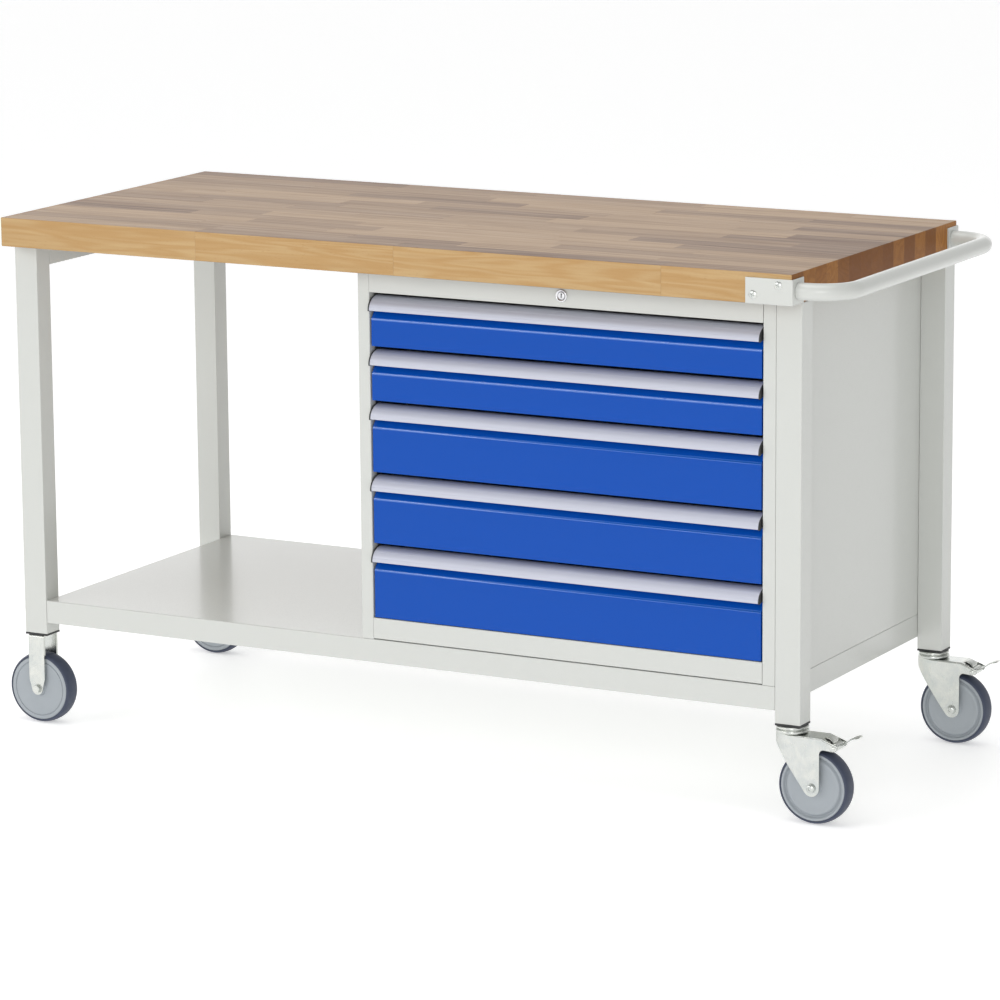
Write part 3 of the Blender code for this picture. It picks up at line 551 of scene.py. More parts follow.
def powder_coat(name, colours, roughness, specular):
    """Powder coat: a very fine grain in its tone, gloss and surface, under a thin glossy coat."""
    made = Recipe(name, Specular_IOR_Level=specular, Coat_Weight=specular * 0.6, Coat_Roughness=0.12)
    grain = made.noise(1600.0, detail=1.0)
    made.colour(made.blend(grain, *colours))
    made.rough(grain, roughness - 0.02, roughness + 0.02, 0.0, 1.0)
    made.bump(grain, 0.01, 0.05 * MM)
    return made.material


def faces_along(made, parts, axis):
    """Whether a face of the worktop looks along an axis, as a share of 0 or 1."""
    return made.math("GREATER_THAN", made.math("ABSOLUTE", parts.outputs[axis]), SIDEWAYS)


def beech():
    """Oiled beech: a tone for each stave, streaks and flecks along it, golden edges, darker end grain.
    The top's colours also hold painted sheen: they are lighter and greyer than the wood, so the edges
    beside them read more golden.
    """
    made = Recipe("beech", Specular_IOR_Level=0.12, Coat_Weight=0.06, Coat_Roughness=0.3)
    tone = made.add("Attribute", attribute_name="stave_tone").outputs["Fac"]
    shift = made.add("Attribute", attribute_name="stave_shift").outputs["Vector"]
    moved = made.add("VectorMath", operation="ADD")
    made.join(made.place, moved.inputs[0])
    made.join(shift, moved.inputs[1])
    place = moved.outputs[0]
    streaks = made.noise(1.0, 6.0, 0.62, 0.5, made.scaled((4.0, 120.0, 120.0), place))
    rings = made.noise(1.0, 3.0, 0.5, 0.3, made.scaled((1.6, 26.0, 26.0), place))
    lines = made.math("SINE", made.math("MULTIPLY", rings, 62.0))
    flecks = made.noise(1.0, 2.0, 0.5, 0.0, made.scaled((150.0, 1100.0, 1100.0), place))
    pores = made.noise(1.0, 4.0, 0.6, 0.0, made.scaled((700.0, 700.0, 700.0), place))
    growth = made.noise(1.0, 2.0, 0.5, 0.4, made.scaled((1.0, 14.0, 14.0), place))
    arcs = made.math("SINE", made.math("MULTIPLY", growth, 90.0))
    # the top's colour: the staves' own tones with painted sheen mixed in
    top = made.layered(made.between(tone, STAVE_TONES_WITH_SHEEN, 0.12, 0.88),
                       (streaks, 0.36, 0.70, 0.45, PALE_STREAK), (streaks, 0.50, 0.26, 0.50, DARK_STREAK),
                       (lines, -1.0, 1.0, 0.16, STAVE_LINE), (flecks, 0.60, 0.74, 0.35, STAVE_FLECK))
    gold = made.layered(made.between(streaks, EDGE_TONES),
                        (lines, -1.0, 1.0, 0.45, EDGE_LINE), (flecks, 0.62, 0.76, 0.40, EDGE_FLECK))
    across = made.layered(made.blend(tone, *END_TONES),
                          (arcs, -1.0, 1.0, 0.35, END_ARC), (pores, 0.40, 0.65, 0.35, END_PORE))
    facing = made.add("SeparateXYZ")
    made.join(made.add("TexCoord").outputs["Normal"], facing.inputs[0])
    # faces that look up get the top's colour with its painted sheen, and faces that look along Y get the
    # edge colours
    sides = made.blend(faces_along(made, facing, 1), top, gold)
    made.colour(made.blend(faces_along(made, facing, 0), sides, across))
    made.rough(streaks, 0.50, 0.40)
    made.bump(made.math("ADD", streaks, flecks), 0.12, 0.2 * MM)
    return made.material


def grip_aluminium():
    """Anodised aluminium with fine drawing lines along the strip."""
    made = Recipe("grip_aluminium", Metallic=0.22, Specular_IOR_Level=0.5)
    lines = made.noise(1.0, 4.0, 0.6, 0.0, made.scaled((2.0, 1500.0, 1500.0)))
    made.colour(made.between(lines, ALUMINIUM))
    made.rough(lines, 0.38, 0.48)
    made.bump(lines, 0.10, 0.1 * MM)
    return made.material


def zinc_steel():
    """Zinc plate: bluish and yellowish clouds, fine scratches and small dents."""
    made = Recipe("zinc_steel", Metallic=1.0)
    made.colour(made.between(made.noise(38.0, 4.0, 0.6, 0.6), ZINC, 0.35, 0.65))
    scuffs = made.noise(1.0, 5.0, 0.65, 1.5, made.scaled((260.0, 260.0, 60.0)))
    made.rough(scuffs, 0.17, 0.30)
    made.bump(made.noise(60.0, 1.0), 0.10, 0.5 * MM)
    return made.material


def lock_chrome():
    """Chrome with smears from fingers."""
    made = Recipe("lock_chrome", Metallic=1.0)
    smear = made.noise(240.0, 4.0)
    made.colour(made.between(smear, CHROME))
    made.rough(smear, 0.10, 0.24)
    made.bump(made.noise(900.0), 0.04, 0.1 * MM)
    return made.material


def plastic(name, colours, roughness, grain, depth):
    """Moulded rubber or plastic: fine grain, and a little dust in its tone."""
    made = Recipe(name)
    made.colour(made.between(made.noise(22.0, 4.0), colours))
    made.rough(made.noise(90.0, 4.0), roughness - 0.06, roughness + 0.08)
    made.bump(made.noise(grain, 3.0), depth, 0.2 * MM)
    return made.material


def make_finishes():
    """Each finish with the record's slot that it belongs to."""
    return {
        "beech": (beech(), "beech_top"),
        "grey": (powder_coat("grey_paint", GREY_PAINT, 0.28, 0.5), "light_grey_paint"),
        "blue": (powder_coat("blue_paint", BLUE_PAINT, 0.26, 0.16), "blue_paint"),
        # the same blue made lighter and glossier for the upper bends: a painted highlight
        "blue_painted_highlight": (powder_coat("blue_paint_painted_highlight", BLUE_PAINTED_HIGHLIGHT, 0.18, 0.8), "blue_paint"),
        "grip": (grip_aluminium(), "grip_aluminium"),
        "zinc": (zinc_steel(), "zinc_steel"),
        "chrome": (lock_chrome(), "lock_chrome"),
        "tyre": (plastic("tyre_rubber", TYRE, 0.52, 1400.0, 0.20), "tyre_rubber"),
        "hub": (plastic("hub_plastic", HUB, 0.42, 900.0, 0.10), "hub_plastic"),
        "black": (plastic("black_plastic", BLACK, 0.45, 1100.0, 0.15), "black_plastic"),
    }


# ---- worktop
def stave_joints(row, length, draws):
    """Where the staves of one row end, from the left end of the worktop."""
    if row == 0:
        return [0.0, *FRONT_JOINTS, length]
    joints = [0.0, draws.uniform(FIRST_SHORTEST, STAVE_LONGEST)]
    while length - joints[-1] > STAVE_LONGEST:
        joints.append(joints[-1] + draws.uniform(STAVE_SHORTEST, STAVE_LONGEST))
    if length - joints[-1] < LAST_SHORTEST:
        joints.pop()
    return joints + [length]


def add_stave(shape, low, high, worktop):
    """One stave: its seams get a hair of a chamfer, and the worktop's own edges a small radius."""
    single = block(low, high)

    def outer(face):
        centre = face.calc_center_median()
        return any(abs(centre[k] - limit[k]) < WELD for k in range(3) for limit in worktop)

    edges = [e for e in single.edges if all(outer(f) for f in e.link_faces)]
    bevel(single, edges, EDGE_RADIUS, 3)
    seams = [e for e in single.edges if convex(e, 80.0) and any(outer(f) for f in e.link_faces)]
    bevel(single, seams, STAVE_CHAMFER, 1)
    return merge(single, shape)


def make_worktop(finishes):
    """Glued staves in rows along the length, with their butt joints staggered."""
    low, high, _ = box_of("worktop")
    draws = random.Random(STAVE_SEED)
    shape = bmesh.new()
    tones = shape.faces.layers.float.new("stave_tone")
    shifts = shape.faces.layers.float_vector.new("stave_shift")
    pitch = (high.y - low.y) / STAVE_ROWS
    for row in range(STAVE_ROWS):
        joints = stave_joints(row, high.x - low.x, draws)
        for start, end in zip(joints, joints[1:]):
            tone = draws.betavariate(TONE_SPREAD, TONE_SPREAD)
            shift = Vector([draws.uniform(0, GRAIN_SHIFT) for _ in range(3)])
            near = Vector((low.x + start, low.y + row * pitch, low.z))
            far = Vector((low.x + end, low.y + (row + 1) * pitch, high.z))
            for face in add_stave(shape, near, far, (low, high)):
                face[tones] = tone
                face[shifts] = shift
    bmesh.ops.recalc_face_normals(shape, faces=shape.faces)
    stand_in("worktop", shape, finishes["beech"])


# ---- frame and cabinet
def make_frame_and_cabinet(finishes):
    """The sheet-metal parts that don't move, and the runners and the lock's bars behind them."""
    grey = finishes["grey"]
    for end in ("front", "rear"):
        for side in ("left", "right"):
            refine(f"leg_{end}_{side}", grey, 2.4 * MM, 0.3 * MM)
            refine(f"leg_plug_{end}_{side}", finishes["black"], 0.8 * MM, 0.4 * MM)
        refine(f"handle_bracket_{end}", grey, 2.2 * MM, 0.5 * MM)
    refine("left_top_rail", grey, 2.0 * MM)
    refine("base_shelf", grey, 1.8 * MM, 0.3 * MM)
    for part in ("wall_left", "wall_right", "wall_rear", "top_rail", "floor_pan"):
        refine(f"cabinet_{part}", grey, 1.5 * MM, 0.25 * MM)
    for node in ("runner_panel_left", "runner_panel_right", "locking_crossbar", "locking_upright"):
        refine(node, finishes["zinc"], 0.6 * MM, 0.2 * MM)


# ---- drawers
def nose_arc(centre, radii, start, end, grooves=()):
    """Stretch of the grip's elliptical nose, angles in degrees from its top, with fine grooves in it."""
    angles = [start + (end - start) * k / NOSE_STEPS for k in range(NOSE_STEPS + 1)]
    cuts = {a: 0.0 for a in angles if all(abs(a - g) > 1.5 * GROOVE_HALF for g in grooves)}
    for groove in grooves:
        cuts.update({groove - GROOVE_HALF: 0.0, groove: GROOVE_DEPTH, groove + GROOVE_HALF: 0.0})
    points = []
    for angle in sorted(cuts, reverse=start > end):
        turn, cut = math.radians(angle), cuts[angle]
        points.append((centre[0] - (radii[0] - cut) * math.sin(turn),
                       centre[1] + (radii[1] - cut) * math.cos(turn)))
    return points


def grip_outline(low, high):
    """Section of the grip strip: grooved nose with a lip, and a flange behind it."""
    centre = (high.y, low.z + GRIP_LIP)
    radii = (high.y - low.y, high.z - centre[1])
    inner = (radii[0] - GRIP_SHEET, radii[1] - GRIP_SHEET)
    flange_back = high.y - FLANGE_SETBACK
    flange_front = flange_back - GRIP_SHEET
    flange_angle = math.degrees(math.asin((high.y - flange_front) / inner[0]))
    outline = nose_arc(centre, radii, 0, 90, GRIP_GROOVES)
    outline += arc((low.y + GRIP_SHEET / 2, low.z + GRIP_SHEET / 2), GRIP_SHEET / 2, 180, 360, 8)
    outline += nose_arc(centre, inner, 90, flange_angle)
    outline += [(flange_front, high.z - FLANGE_DROP), (flange_back, high.z - FLANGE_DROP),
                (flange_back, high.z - REAR_STEP), (high.y, high.z - REAR_STEP)]
    return outline


def make_drawer(number, finishes):
    """The tray, and the front, whose upper bend gets a lighter, glossier blue as a painted highlight."""
    refine(f"drawer_{number}_body", finishes["grey"], 1.5 * MM)
    node = f"drawer_{number}_front"
    shape = cad_shape(node)
    face = min(v.co.y for v in shape.verts)
    flat = [e for e in shape.edges if all(v.co.y < face + WELD for v in e.verts)]
    top = max(v.co.z for e in flat for v in e.verts)
    fold = [e for e in flat if all(v.co.z > top - WELD for v in e.verts)]
    # the upper bend's faces take the second material, the lighter blue of the painted highlight
    for bent in bevel(shape, fold, PANEL_BEND, 5):
        bent.material_index = 1
    piece = stand_in(node, round_edges(shape, 1.8 * MM, 0.4 * MM), finishes["blue"])
    piece.data.materials.append(finishes["blue_painted_highlight"][0])
    make_grip(number, finishes)


def make_grip(number, finishes):
    """The grip strip with a black cap on each end."""
    node = f"drawer_{number}_grip"
    low, high, _ = box_of(node)
    strip = prism(grip_outline(low, high), "X", low.x, high.x)
    stand_in(node, strip, finishes["grip"], 28.0)
    centre = (high.y, low.z + GRIP_LIP)
    radii = (high.y - low.y + CAP_PROUD, high.z - centre[1] + CAP_PROUD)
    outline = nose_arc(centre, radii, CAP_START, 90)
    front, foot = outline[-1][0], low.z - CAP_PROUD
    outline += [(front, foot), (front + 2 * GRIP_SHEET, foot), (outline[0][0], centre[1] + CAP_HEEL)]
    for side, start, end in (("left", low.x - CAP_THICKNESS, low.x),
                             ("right", high.x, high.x + CAP_THICKNESS)):
        cap = prism(outline, "X", start, end)
        bevel(cap, [e for e in cap.edges if convex(e, 60.0)], 0.4 * MM, 2)
        add_piece(f"v_grip_cap_{number}_{side}", cap, finishes["black"], node)


# ---- lock
def make_lock(finishes):
    """Rosette with a rounded rim round a plug that has a keyway, a crank and a pin."""
    low, _, middle = box_of("lock_barrel")
    centre = Vector((middle.x, low.y + ROSETTE_DEPTH * MM, middle.z))
    stand_in("lock_barrel", turned(in_metres(ROSETTE), "Y", centre), finishes["chrome"])
    start, end = [centre.y + place * MM for place in KEYWAY_ENDS]
    keyway = prism(around(centre, KEYWAY), "Y", start, end)
    plug = turned(in_metres(PLUG), "Y", centre, closed=False)
    plug = combined(plug, keyway, "DIFFERENCE")
    start, end = [centre.y + place * MM for place in CRANK_ENDS]
    prism(around(centre, filleted(CRANK, CRANK_CORNER)), "Y", start, end, plug)
    pin = centre + Vector((0, 0, CRANK_REACH * MM))
    turned(in_metres(CRANK_PIN), "Y", pin, 24, plug, closed=False)
    stand_in("lock_plug", plug, finishes["chrome"])


# ---- casters
def make_wheel(label, side, finishes):
    """Crowned tyre on a moulded wheel, turned about the axle."""
    low, high, centre = box_of(f"tyre_{label}")
    half, outer = (high.y - low.y) / 2, (high.z - low.z) / 2
    tread = []
    for k in range(TREAD_STEPS + 1):
        angle = math.pi * (k / TREAD_STEPS - 0.5)
        crown = max(math.cos(angle), 0.0) ** TREAD_POWER
        tread.append((TYRE_INNER + (outer - TYRE_INNER) * crown, half * math.sin(angle)))
    stand_in(f"tyre_{label}", turned(tread, "Y", centre, 2 * SEGMENTS), finishes["tyre"])
    half_hub = in_metres(FIXED_HUB if side == "left" else SWIVEL_HUB)
    half_hub.append((RIM_RADIUS, half_hub[-1][1] - 1.0 * MM))
    section = half_hub + [(r, -y) for r, y in reversed(half_hub)]
    stand_in(f"hub_{label}", turned(section, "Y", centre, 2 * SEGMENTS), finishes["hub"])


def make_axle(label, side, finishes):
    """Shank with a washer outside each cheek, and hexagon or button heads."""
    low, high, centre = box_of(f"axle_{label}")
    cheek, end = FORK_HALF + 0.3 * MM, (high.y - low.y) / 2
    washer_end = cheek + 1.3 * MM
    head_start, ring = washer_end + 0.02 * MM, AXLE_SHANK + 0.1 * MM
    shank = [(0, -washer_end), (AXLE_SHANK, -washer_end), (AXLE_SHANK, washer_end), (0, washer_end)]
    shape = turned(shank, "Y", centre, 48, closed=False)
    washer = [(ring, cheek), (8.0 * MM, cheek), (8.2 * MM, cheek + 0.3 * MM), (8.0 * MM, washer_end),
              (ring, washer_end)]
    button = [(0, end - 1.3 * MM), (2.6 * MM, end - 1.3 * MM), (3.0 * MM, end - 0.2 * MM),
              (3.8 * MM, end), (5.4 * MM, end - 0.6 * MM), (6.9 * MM, end - 1.9 * MM),
              (7.4 * MM, head_start), (0, head_start)]
    for facing in (-1, 1):
        turned([(r, facing * y) for r, y in washer], "Y", centre, 48, shape)
        if side == "right" and facing < 0:
            turned([(r, facing * y) for r, y in button], "Y", centre, 48, shape, closed=False)
            continue
        start, stop = sorted((facing * head_start, facing * end))
        hexagon = [(centre.x + x, centre.z + z) for x, z in arc((0, 0), AXLE_HEXAGON, 15, 315, 5)]
        head = prism(hexagon, "Y", centre.y + start, centre.y + stop)
        outer = [e for e in head.edges
                 if all(abs(v.co.y - centre.y - facing * end) < WELD for v in e.verts)]
        bevel(head, outer, 0.7 * MM, 2)
        merge(head, shape)
    stand_in(f"axle_{label}", shape, finishes["zinc"], 30.0)


def open_fork(shape, centre, tools):
    """Cuts a fork's inside out of its block, and bores both cheeks for the axle."""
    for tool in tools:
        shape = combined(shape, tool, "DIFFERENCE")
    bore = [(0, -0.04), (AXLE_BORE, -0.04), (AXLE_BORE, 0.04), (0, 0.04)]
    return combined(shape, turned(bore, "Y", centre, 48, closed=False), "DIFFERENCE")


def make_fixed_fork(label, finishes):
    """Bent channel: a rounded roof and two cheeks, whose edges are folded in down to the taper."""
    _, high, middle = box_of(f"fork_{label}")
    axle = box_of(f"tyre_{label}")[2]
    top = axle.z + FIXED_ROOF
    taper = axle.z + FIXED_TAPER_START
    outline = [(-FIXED_HALF_WIDTH, top), (-FIXED_HALF_WIDTH, taper)]
    outline += arc((0, axle.z), FIXED_TIP, 190, 350, 20)
    outline += [(FIXED_HALF_WIDTH, taper), (FIXED_HALF_WIDTH, top)]
    outline = [(middle.x + x, z) for x, z in outline]
    shape = prism(outline, "Y", middle.y - FORK_HALF, middle.y + FORK_HALF)
    roof = [e for e in shape.edges if square_to(e, 1) and all(v.co.z > top - WELD for v in e.verts)]
    bevel(shape, roof, 4.5 * MM, 5)
    bevel(shape, [e for e in shape.edges if convex(e, 80.0) and square_to(e, 0, 1)], 1.8 * MM, 4)
    face = FORK_HALF - SHEET
    wall = FIXED_HALF_WIDTH - SHEET
    fold = FORK_HALF - TURNED_EDGE
    centre = Vector((middle.x, middle.y, 0))
    hollows = (((-wall, -face, taper + 6 * MM), (wall, face, top - SHEET)),
               ((-FAR, -fold, -FAR), (FAR, fold, top - SHEET)),
               ((-FAR, -face, -FAR), (FAR, face, taper + 7 * MM)))
    tools = [block(centre + Vector(near), centre + Vector(far)) for near, far in hollows]
    shape = open_fork(shape, axle, tools)
    stem = [(0, top - MM), (6 * MM, top - MM), (6 * MM, high.z), (0, high.z)]
    shape = combined(shape, turned(stem, "Z", centre, 36, closed=False), "UNION")
    stand_in(f"fork_{label}", shape, finishes["zinc"], 30.0)


def nose_ring(centre, inset, z):
    """The swivel fork's plan at a height: straight cheeks that wrap round a nose in front."""
    share = (NOSE_TOP - z) / (NOSE_TOP - NOSE_FOOT)
    bend = NOSE_TOP_BEND + share * (NOSE_FOOT_BEND - NOSE_TOP_BEND)
    half, reach = FORK_HALF - inset, NOSE_REACH - inset
    ring = [centre + Vector((0.2, -half, z))]
    for k in range(NOSE_RING_STEPS + 1):
        angle = math.pi * (k / NOSE_RING_STEPS - 0.5)
        across = math.copysign(abs(math.sin(angle)) ** (2 / NOSE_POWER), angle)
        along = max(math.cos(angle), 0.0) ** (2 / NOSE_POWER)
        ring.append(centre + Vector((bend - (bend + reach) * along, half * across, z)))
    ring.append(centre + Vector((0.2, half, z)))
    return ring


def make_swivel_fork(label, finishes):
    """Pressed fork: roof, cheeks that wrap round a nose, an arch over the wheel and the pedal's horns."""
    axle = box_of(f"tyre_{label}")[2]
    middle = box_of(f"caster_head_{label}")[2]
    centre = Vector((middle.x, middle.y, 0))
    trail, z = (axle.x - centre.x) / MM, axle.z / MM
    roof = box_of(f"fork_{label}")[1].z / MM
    points = [(-25.5, roof), (-27.5, roof - 12), *arc((trail, z), 14, 215, 360, 20), (trail + 14, z + 61),
              (trail + 19, z + 66), (trail + 38, z + 64.5), (trail + 43, z + 66), (trail + 45, z + 74),
              (trail + 16, roof)]
    corners = [0, 4] + [0] * 21 + [9, 10, 6, 5, 0, 0]
    outline = around(centre, filleted(points, corners))
    shape = prism(outline, "Y", centre.y - FORK_HALF, centre.y + FORK_HALF)
    bends = [e for e in shape.edges if square_to(e, 1) and e.calc_length() > 25 * MM
             and (e.verts[0].co.z + e.verts[1].co.z) / 2 > (roof - 8) * MM]
    bevel(shape, bends, 3.4 * MM, 4)
    nose = loft([nose_ring(centre, 0.0, 0.0), nose_ring(centre, 0.0, 0.17)])
    shape = combined(shape, nose, "INTERSECT")
    hollow = loft([nose_ring(centre, SHEET, -0.01), nose_ring(centre, SHEET, 0.17)])
    under = [(-60, -60), (190, -60), (190, z + 69), (trail + 50, z + 69), (trail + 15, roof - 2.6),
             (-60, roof - 2.6)]
    under = prism(around(centre, under), "Y", centre.y - FAR, centre.y + FAR)
    tools = [combined(hollow, under, "INTERSECT")]
    for start, half in ((19, 12.8), (31, 19.5)):
        tools.append(block(centre + Vector((trail + start, -half, 110)) * MM,
                           centre + Vector((trail + 60, half, 170)) * MM))
    hole = [(0, 0.12), (7.6 * MM, 0.12), (7.6 * MM, 0.17), (0, 0.17)]
    tools.append(turned(hole, "Z", centre, 36, closed=False))
    shape = open_fork(shape, axle, tools)
    rivet = [(0, 22.05), (4.2, 22.05), (4.2, 22.6), (3.6, 23.2), (2.2, 23.7), (0, 23.9)]
    for facing in (-1, 1):
        turned(in_metres(rivet, facing), "Y", axle + PEDAL_FROM_AXLE, 32, shape, closed=False)
    stand_in(f"fork_{label}", shape, finishes["zinc"], 30.0)


def make_head(label, finishes):
    """Stacked rings of the swivel head, with the king pin through the fork's roof."""
    node = f"caster_head_{label}"
    low, high, middle = box_of(node)
    wide = (high.x - low.x) / 2 / MM
    stem_top, foot = high.z / MM, low.z / MM
    roof = foot + 7.5
    groove = wide - HEAD_GROOVE / MM
    profile = [(0, stem_top), (5.2, stem_top), (6, stem_top - 1), (6, HEAD_TOP), (wide - 2.4, HEAD_TOP)]
    profile += arc((wide - 2.6, HEAD_TOP - 2.2), 2.2, 75, -70, 8)
    profile += [(groove, HEAD_TOP - 4.9), (groove, HEAD_TOP - 5.4)]
    profile += arc((wide - 2.9, HEAD_TOP - 8.3), 2.9, 80, -80, 10)
    profile += [(wide - 3.6, roof + 0.5), (7, roof + 0.5), (7, roof - 3.3), (9, roof - 3.5),
                (9, roof - 6), (6, foot), (0, foot)]
    shape = turned(in_metres(profile), "Z", Vector((middle.x, middle.y, 0)), closed=False)
    stand_in(node, shape, finishes["zinc"])


def strip_ring(spot, along, half, thickness, dish):
    """Rounded section of a pressed strip across Y, dished down towards its edges."""
    normal = Vector((-along.z, 0, along.x))
    ring = []
    for k in range(STRIP_POINTS):
        angle = math.tau * k / STRIP_POINTS
        across = math.copysign(abs(math.cos(angle)) ** 0.4, math.cos(angle))
        up = math.copysign(abs(math.sin(angle)) ** 0.6, math.sin(angle)) * thickness / 2
        lift = normal * (up - dish * across * across)
        ring.append(spot + Vector((0, across * half, 0)) + lift)
    return ring


def make_strip(centre, stations, thickness, dish, shape):
    """A pressed strip through stations of (x, z, half width) in mm about centre."""
    curve = spline([tuple(value * MM for value in station) for station in stations], 6)
    rings = []
    for k, (x, z, half) in enumerate(curve):
        before, after = curve[max(k - 1, 0)], curve[min(k + 1, len(curve) - 1)]
        along = Vector((after[0] - before[0], 0, after[1] - before[1])).normalized()
        rings.append(strip_ring(centre + Vector((x, 0, z)), along, half, thickness, dish))
    return loft(rings, shape)


def make_pedal(label, finishes):
    """Brake pedal: a raised tab, a roll round its pin and a leaf-shaped tread."""
    node = f"brake_pedal_{label}"
    pin = box_of(f"tyre_{label}")[2] + PEDAL_FROM_AXLE
    roll = [(0, -13.6), (5.6, -13.6), (6.4, -12.8), (6.4, 12.8), (5.6, 13.6), (0, 13.6)]
    shape = turned(in_metres(roll), "Y", pin, 40, closed=False)
    for start, end in ((-18.6, -13.7), (13.7, 18.6)):
        bush = [(0, start), (4.0, start), (4.0, end), (0, end)]
        turned(in_metres(bush), "Y", pin, 32, shape, closed=False)
    tab = [(-15.6, 14.4, 11.2), (-15.0, 15.0, 11.4), (-11, 14.0, 11.5), (-7.0, 12.2, 11.5),
           (-4.4, 9.0, 11.5), (-3.6, 4.8, 11.0)]
    make_strip(pin, tab, 2.4 * MM, 0.0, shape)
    leaf = [(4.6, 2.6, 8.0), (9, 4.4, 8.0), (15, 7.6, 9.0), (21, 12.0, 12.0), (27, 16.4, 14.6),
            (33, 19.0, 15.0), (38, 19.8, 12.6), (40.4, 20.0, 8.6), (41, 20.0, 4.0)]
    make_strip(pin, leaf, 2.4 * MM, 1.1 * MM, shape)
    stand_in(node, shape, finishes["zinc"], 42.0)


def make_casters(finishes):
    for end in ("front", "rear"):
        for side in ("left", "right"):
            label = f"{end}_{side}"
            make_wheel(label, side, finishes)
            make_axle(label, side, finishes)
        make_fixed_fork(f"{end}_left", finishes)
        make_swivel_fork(f"{end}_right", finishes)
        make_head(f"{end}_right", finishes)
        make_pedal(f"{end}_right", finishes)


# ---- handle
def make_handle(finishes):
    """Bent tube with open ends, swept along its centreline."""
    low, high, middle = box_of("handle_tube")
    radius = (high.z - low.z) / 2
    start, grip = low.x, high.x - radius
    ends = (low.y + radius, high.y - radius)
    path = [(start, ends[0], 0.0)]
    for corner, quarter in ((ends[0] + TUBE_BEND, 0), (ends[1] - TUBE_BEND, 1)):
        for k in range(BEND_STEPS + 1):
            turn = math.pi / 2 * (quarter + k / BEND_STEPS)
            path.append((grip - TUBE_BEND * (1 - math.sin(turn)),
                         corner - TUBE_BEND * math.cos(turn), turn))
    path.append((start, ends[1], math.pi))
    angles = [math.tau * k / TUBE_SEGMENTS for k in range(TUBE_SEGMENTS)]
    rings = []
    for size, stations in ((radius, path), (radius - TUBE_WALL, path[::-1])):
        for x, y, turn in stations:
            spot = Vector((x, y, middle.z))
            side = Vector((math.sin(turn), -math.cos(turn), 0))
            rings.append([spot + size * (side * math.cos(a) + Vector((0, 0, math.sin(a))))
                          for a in angles])
    stand_in("handle_tube", loft(rings, cyclic=True), finishes["grey"])


def make_screw(centre, facing):
    """Pan-head screw with a cross recess, its point towards +Y where facing is 1."""
    head = [(0, -SCREW_HEIGHT), (2.2 * MM, -SCREW_HEIGHT), (4.4 * MM, -0.85 * SCREW_HEIGHT),
            (6.0 * MM, -0.5 * SCREW_HEIGHT), (SCREW_HEAD, -0.1 * SCREW_HEIGHT), (SCREW_HEAD, 0),
            (2.3 * MM, 0), (2.3 * MM, 22 * MM), (0, 27 * MM)]
    shape = turned([(r, facing * y) for r, y in head], "Y", centre, 40, closed=False)
    turn = Matrix.Rotation(math.radians(RECESS_TURN), 3, "Y")
    for wide, tall in ((RECESS_REACH, RECESS_HALF), (RECESS_HALF, RECESS_REACH)):
        arm = block(Vector((-wide, -RECESS_DEPTH, -tall)) * MM, Vector((wide, RECESS_DEPTH, tall)) * MM)
        for vert in arm.verts:
            vert.co = turn @ vert.co + centre - Vector((0, facing * SCREW_HEIGHT, 0))
        shape = combined(shape, arm, "DIFFERENCE")
    return shape


def make_bracket_screws(finishes):
    """Two screws through each handle bracket into the worktop's edge."""
    for end, facing in (("front", 1), ("rear", -1)):
        node = f"handle_bracket_{end}"
        low, high, _ = box_of(node)
        face = low.y if facing > 0 else high.y
        for number, (across, up) in enumerate(SCREW_SPOTS, start=1):
            screw = make_screw(Vector((low.x + across * MM, face, low.z + up * MM)), facing)
            add_piece(f"v_bracket_screw_{end}_{number}", screw, finishes["zinc"], node)


# ---- stage
def make_camera():
    """The camera, which looks at a point near the box's middle."""
    low, high = CAD_BOX
    heading, pitch = math.radians(CAMERA_HEADING), math.radians(CAMERA_PITCH)
    forward = Vector((-math.sin(heading) * math.cos(pitch), math.cos(heading) * math.cos(pitch),
                      -math.sin(pitch)))
    aim = (low + high) / 2 + CAMERA_AIM
    data = bpy.data.cameras.new("camera")
    data.lens = CAMERA_LENS
    data.sensor_width = SENSOR_WIDTH
    data.clip_end = CAMERA_REACH
    camera = new_object("camera", data)
    roll = Matrix.Rotation(math.radians(-CAMERA_ROLL), 3, "Z").to_quaternion()
    turn = forward.to_track_quat("-Z", "Y") @ roll
    camera.matrix_world = Matrix.LocRotScale(aim - forward * CAMERA_DISTANCE, turn, None)
    bpy.context.scene.camera = camera


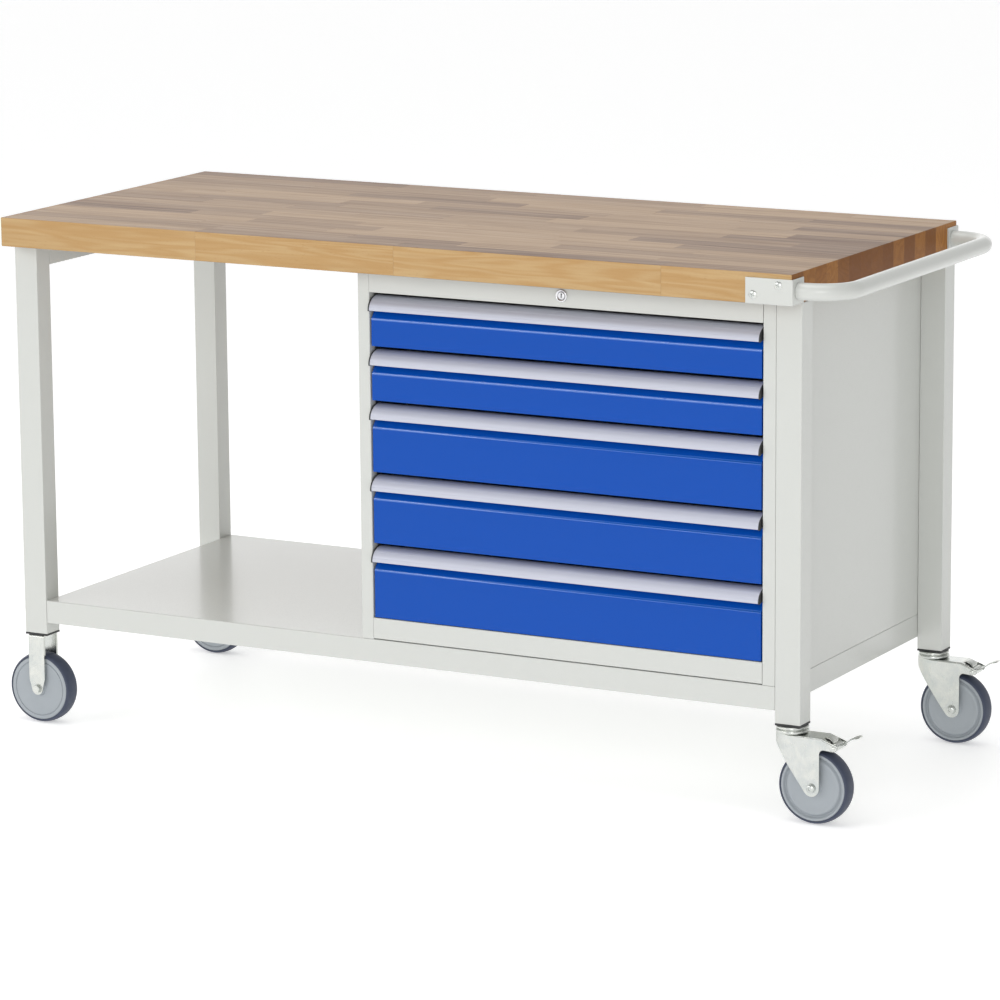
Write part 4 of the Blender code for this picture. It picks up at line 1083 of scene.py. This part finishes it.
def add_light(name, place, size, power):
    """A rectangular light that shines at the bench."""
    data = bpy.data.lights.new(name, "AREA")
    data.shape = "RECTANGLE"
    data.size, data.size_y = size
    data.energy = power
    turn = (LIGHT_AIM - Vector(place)).to_track_quat("-Z", "Y")
    new_object(name, data).matrix_world = Matrix.LocRotScale(Vector(place), turn, None)


def make_room():
    """A white room: bright walls down to the floor, a darker ceiling, and a strength for each corner."""
    world = bpy.data.worlds.new("room")
    world.use_nodes = True
    room = Nodes(world.node_tree)
    background = room.tree.nodes["Background"]
    parts = room.add("SeparateXYZ")
    room.join(room.add("TexCoord").outputs["Generated"], parts.inputs[0])
    height = room.spread(parts.outputs["Z"], WALL_TOP, CEILING_START, 0.0, 1.0, "SMOOTHSTEP")
    room.join(room.blend(height, WALL_TONE, CEILING_TONE), background.inputs["Color"])
    strength = room.add("Mix")
    for direction, ends, slot in (("X", (0.0, 1.0), 0), ("Y", LEFT_STRENGTHS, 2),
                                  ("Y", RIGHT_STRENGTHS, 3)):
        room.join(room.spread(parts.outputs[direction], -1.0, 1.0, *ends), strength.inputs[slot])
    room.join(strength.outputs[0], background.inputs["Strength"])
    bpy.context.scene.world = world


def make_floor():
    """A plain pale floor that glows a little, so that it reads as white."""
    floor = Recipe("floor", Roughness=0.6, Specular_IOR_Level=0.2, Base_Color=(0.9, 0.9, 0.9),
                   Emission_Color=(1.0, 1.0, 1.0), Emission_Strength=FLOOR_GLOW)
    shape = bmesh.new()
    bmesh.ops.create_grid(shape, x_segments=1, y_segments=1, size=FLOOR_SIZE)
    ground = mesh_object("floor", shape)
    ground.data.materials.append(floor.material)


def make_stage():
    """A pale floor, a white room and large soft lights."""
    bpy.context.scene.view_settings.view_transform = "Standard"
    make_room()
    make_floor()
    for light in LIGHTS:
        add_light(*light)


# ---- whole scene
def make_bench():
    finishes = make_finishes()
    make_worktop(finishes)
    make_frame_and_cabinet(finishes)
    for number in range(1, 6):
        make_drawer(number, finishes)
    make_lock(finishes)
    make_casters(finishes)
    make_handle(finishes)
    make_bracket_screws(finishes)


make_camera()
make_stage()
make_bench()
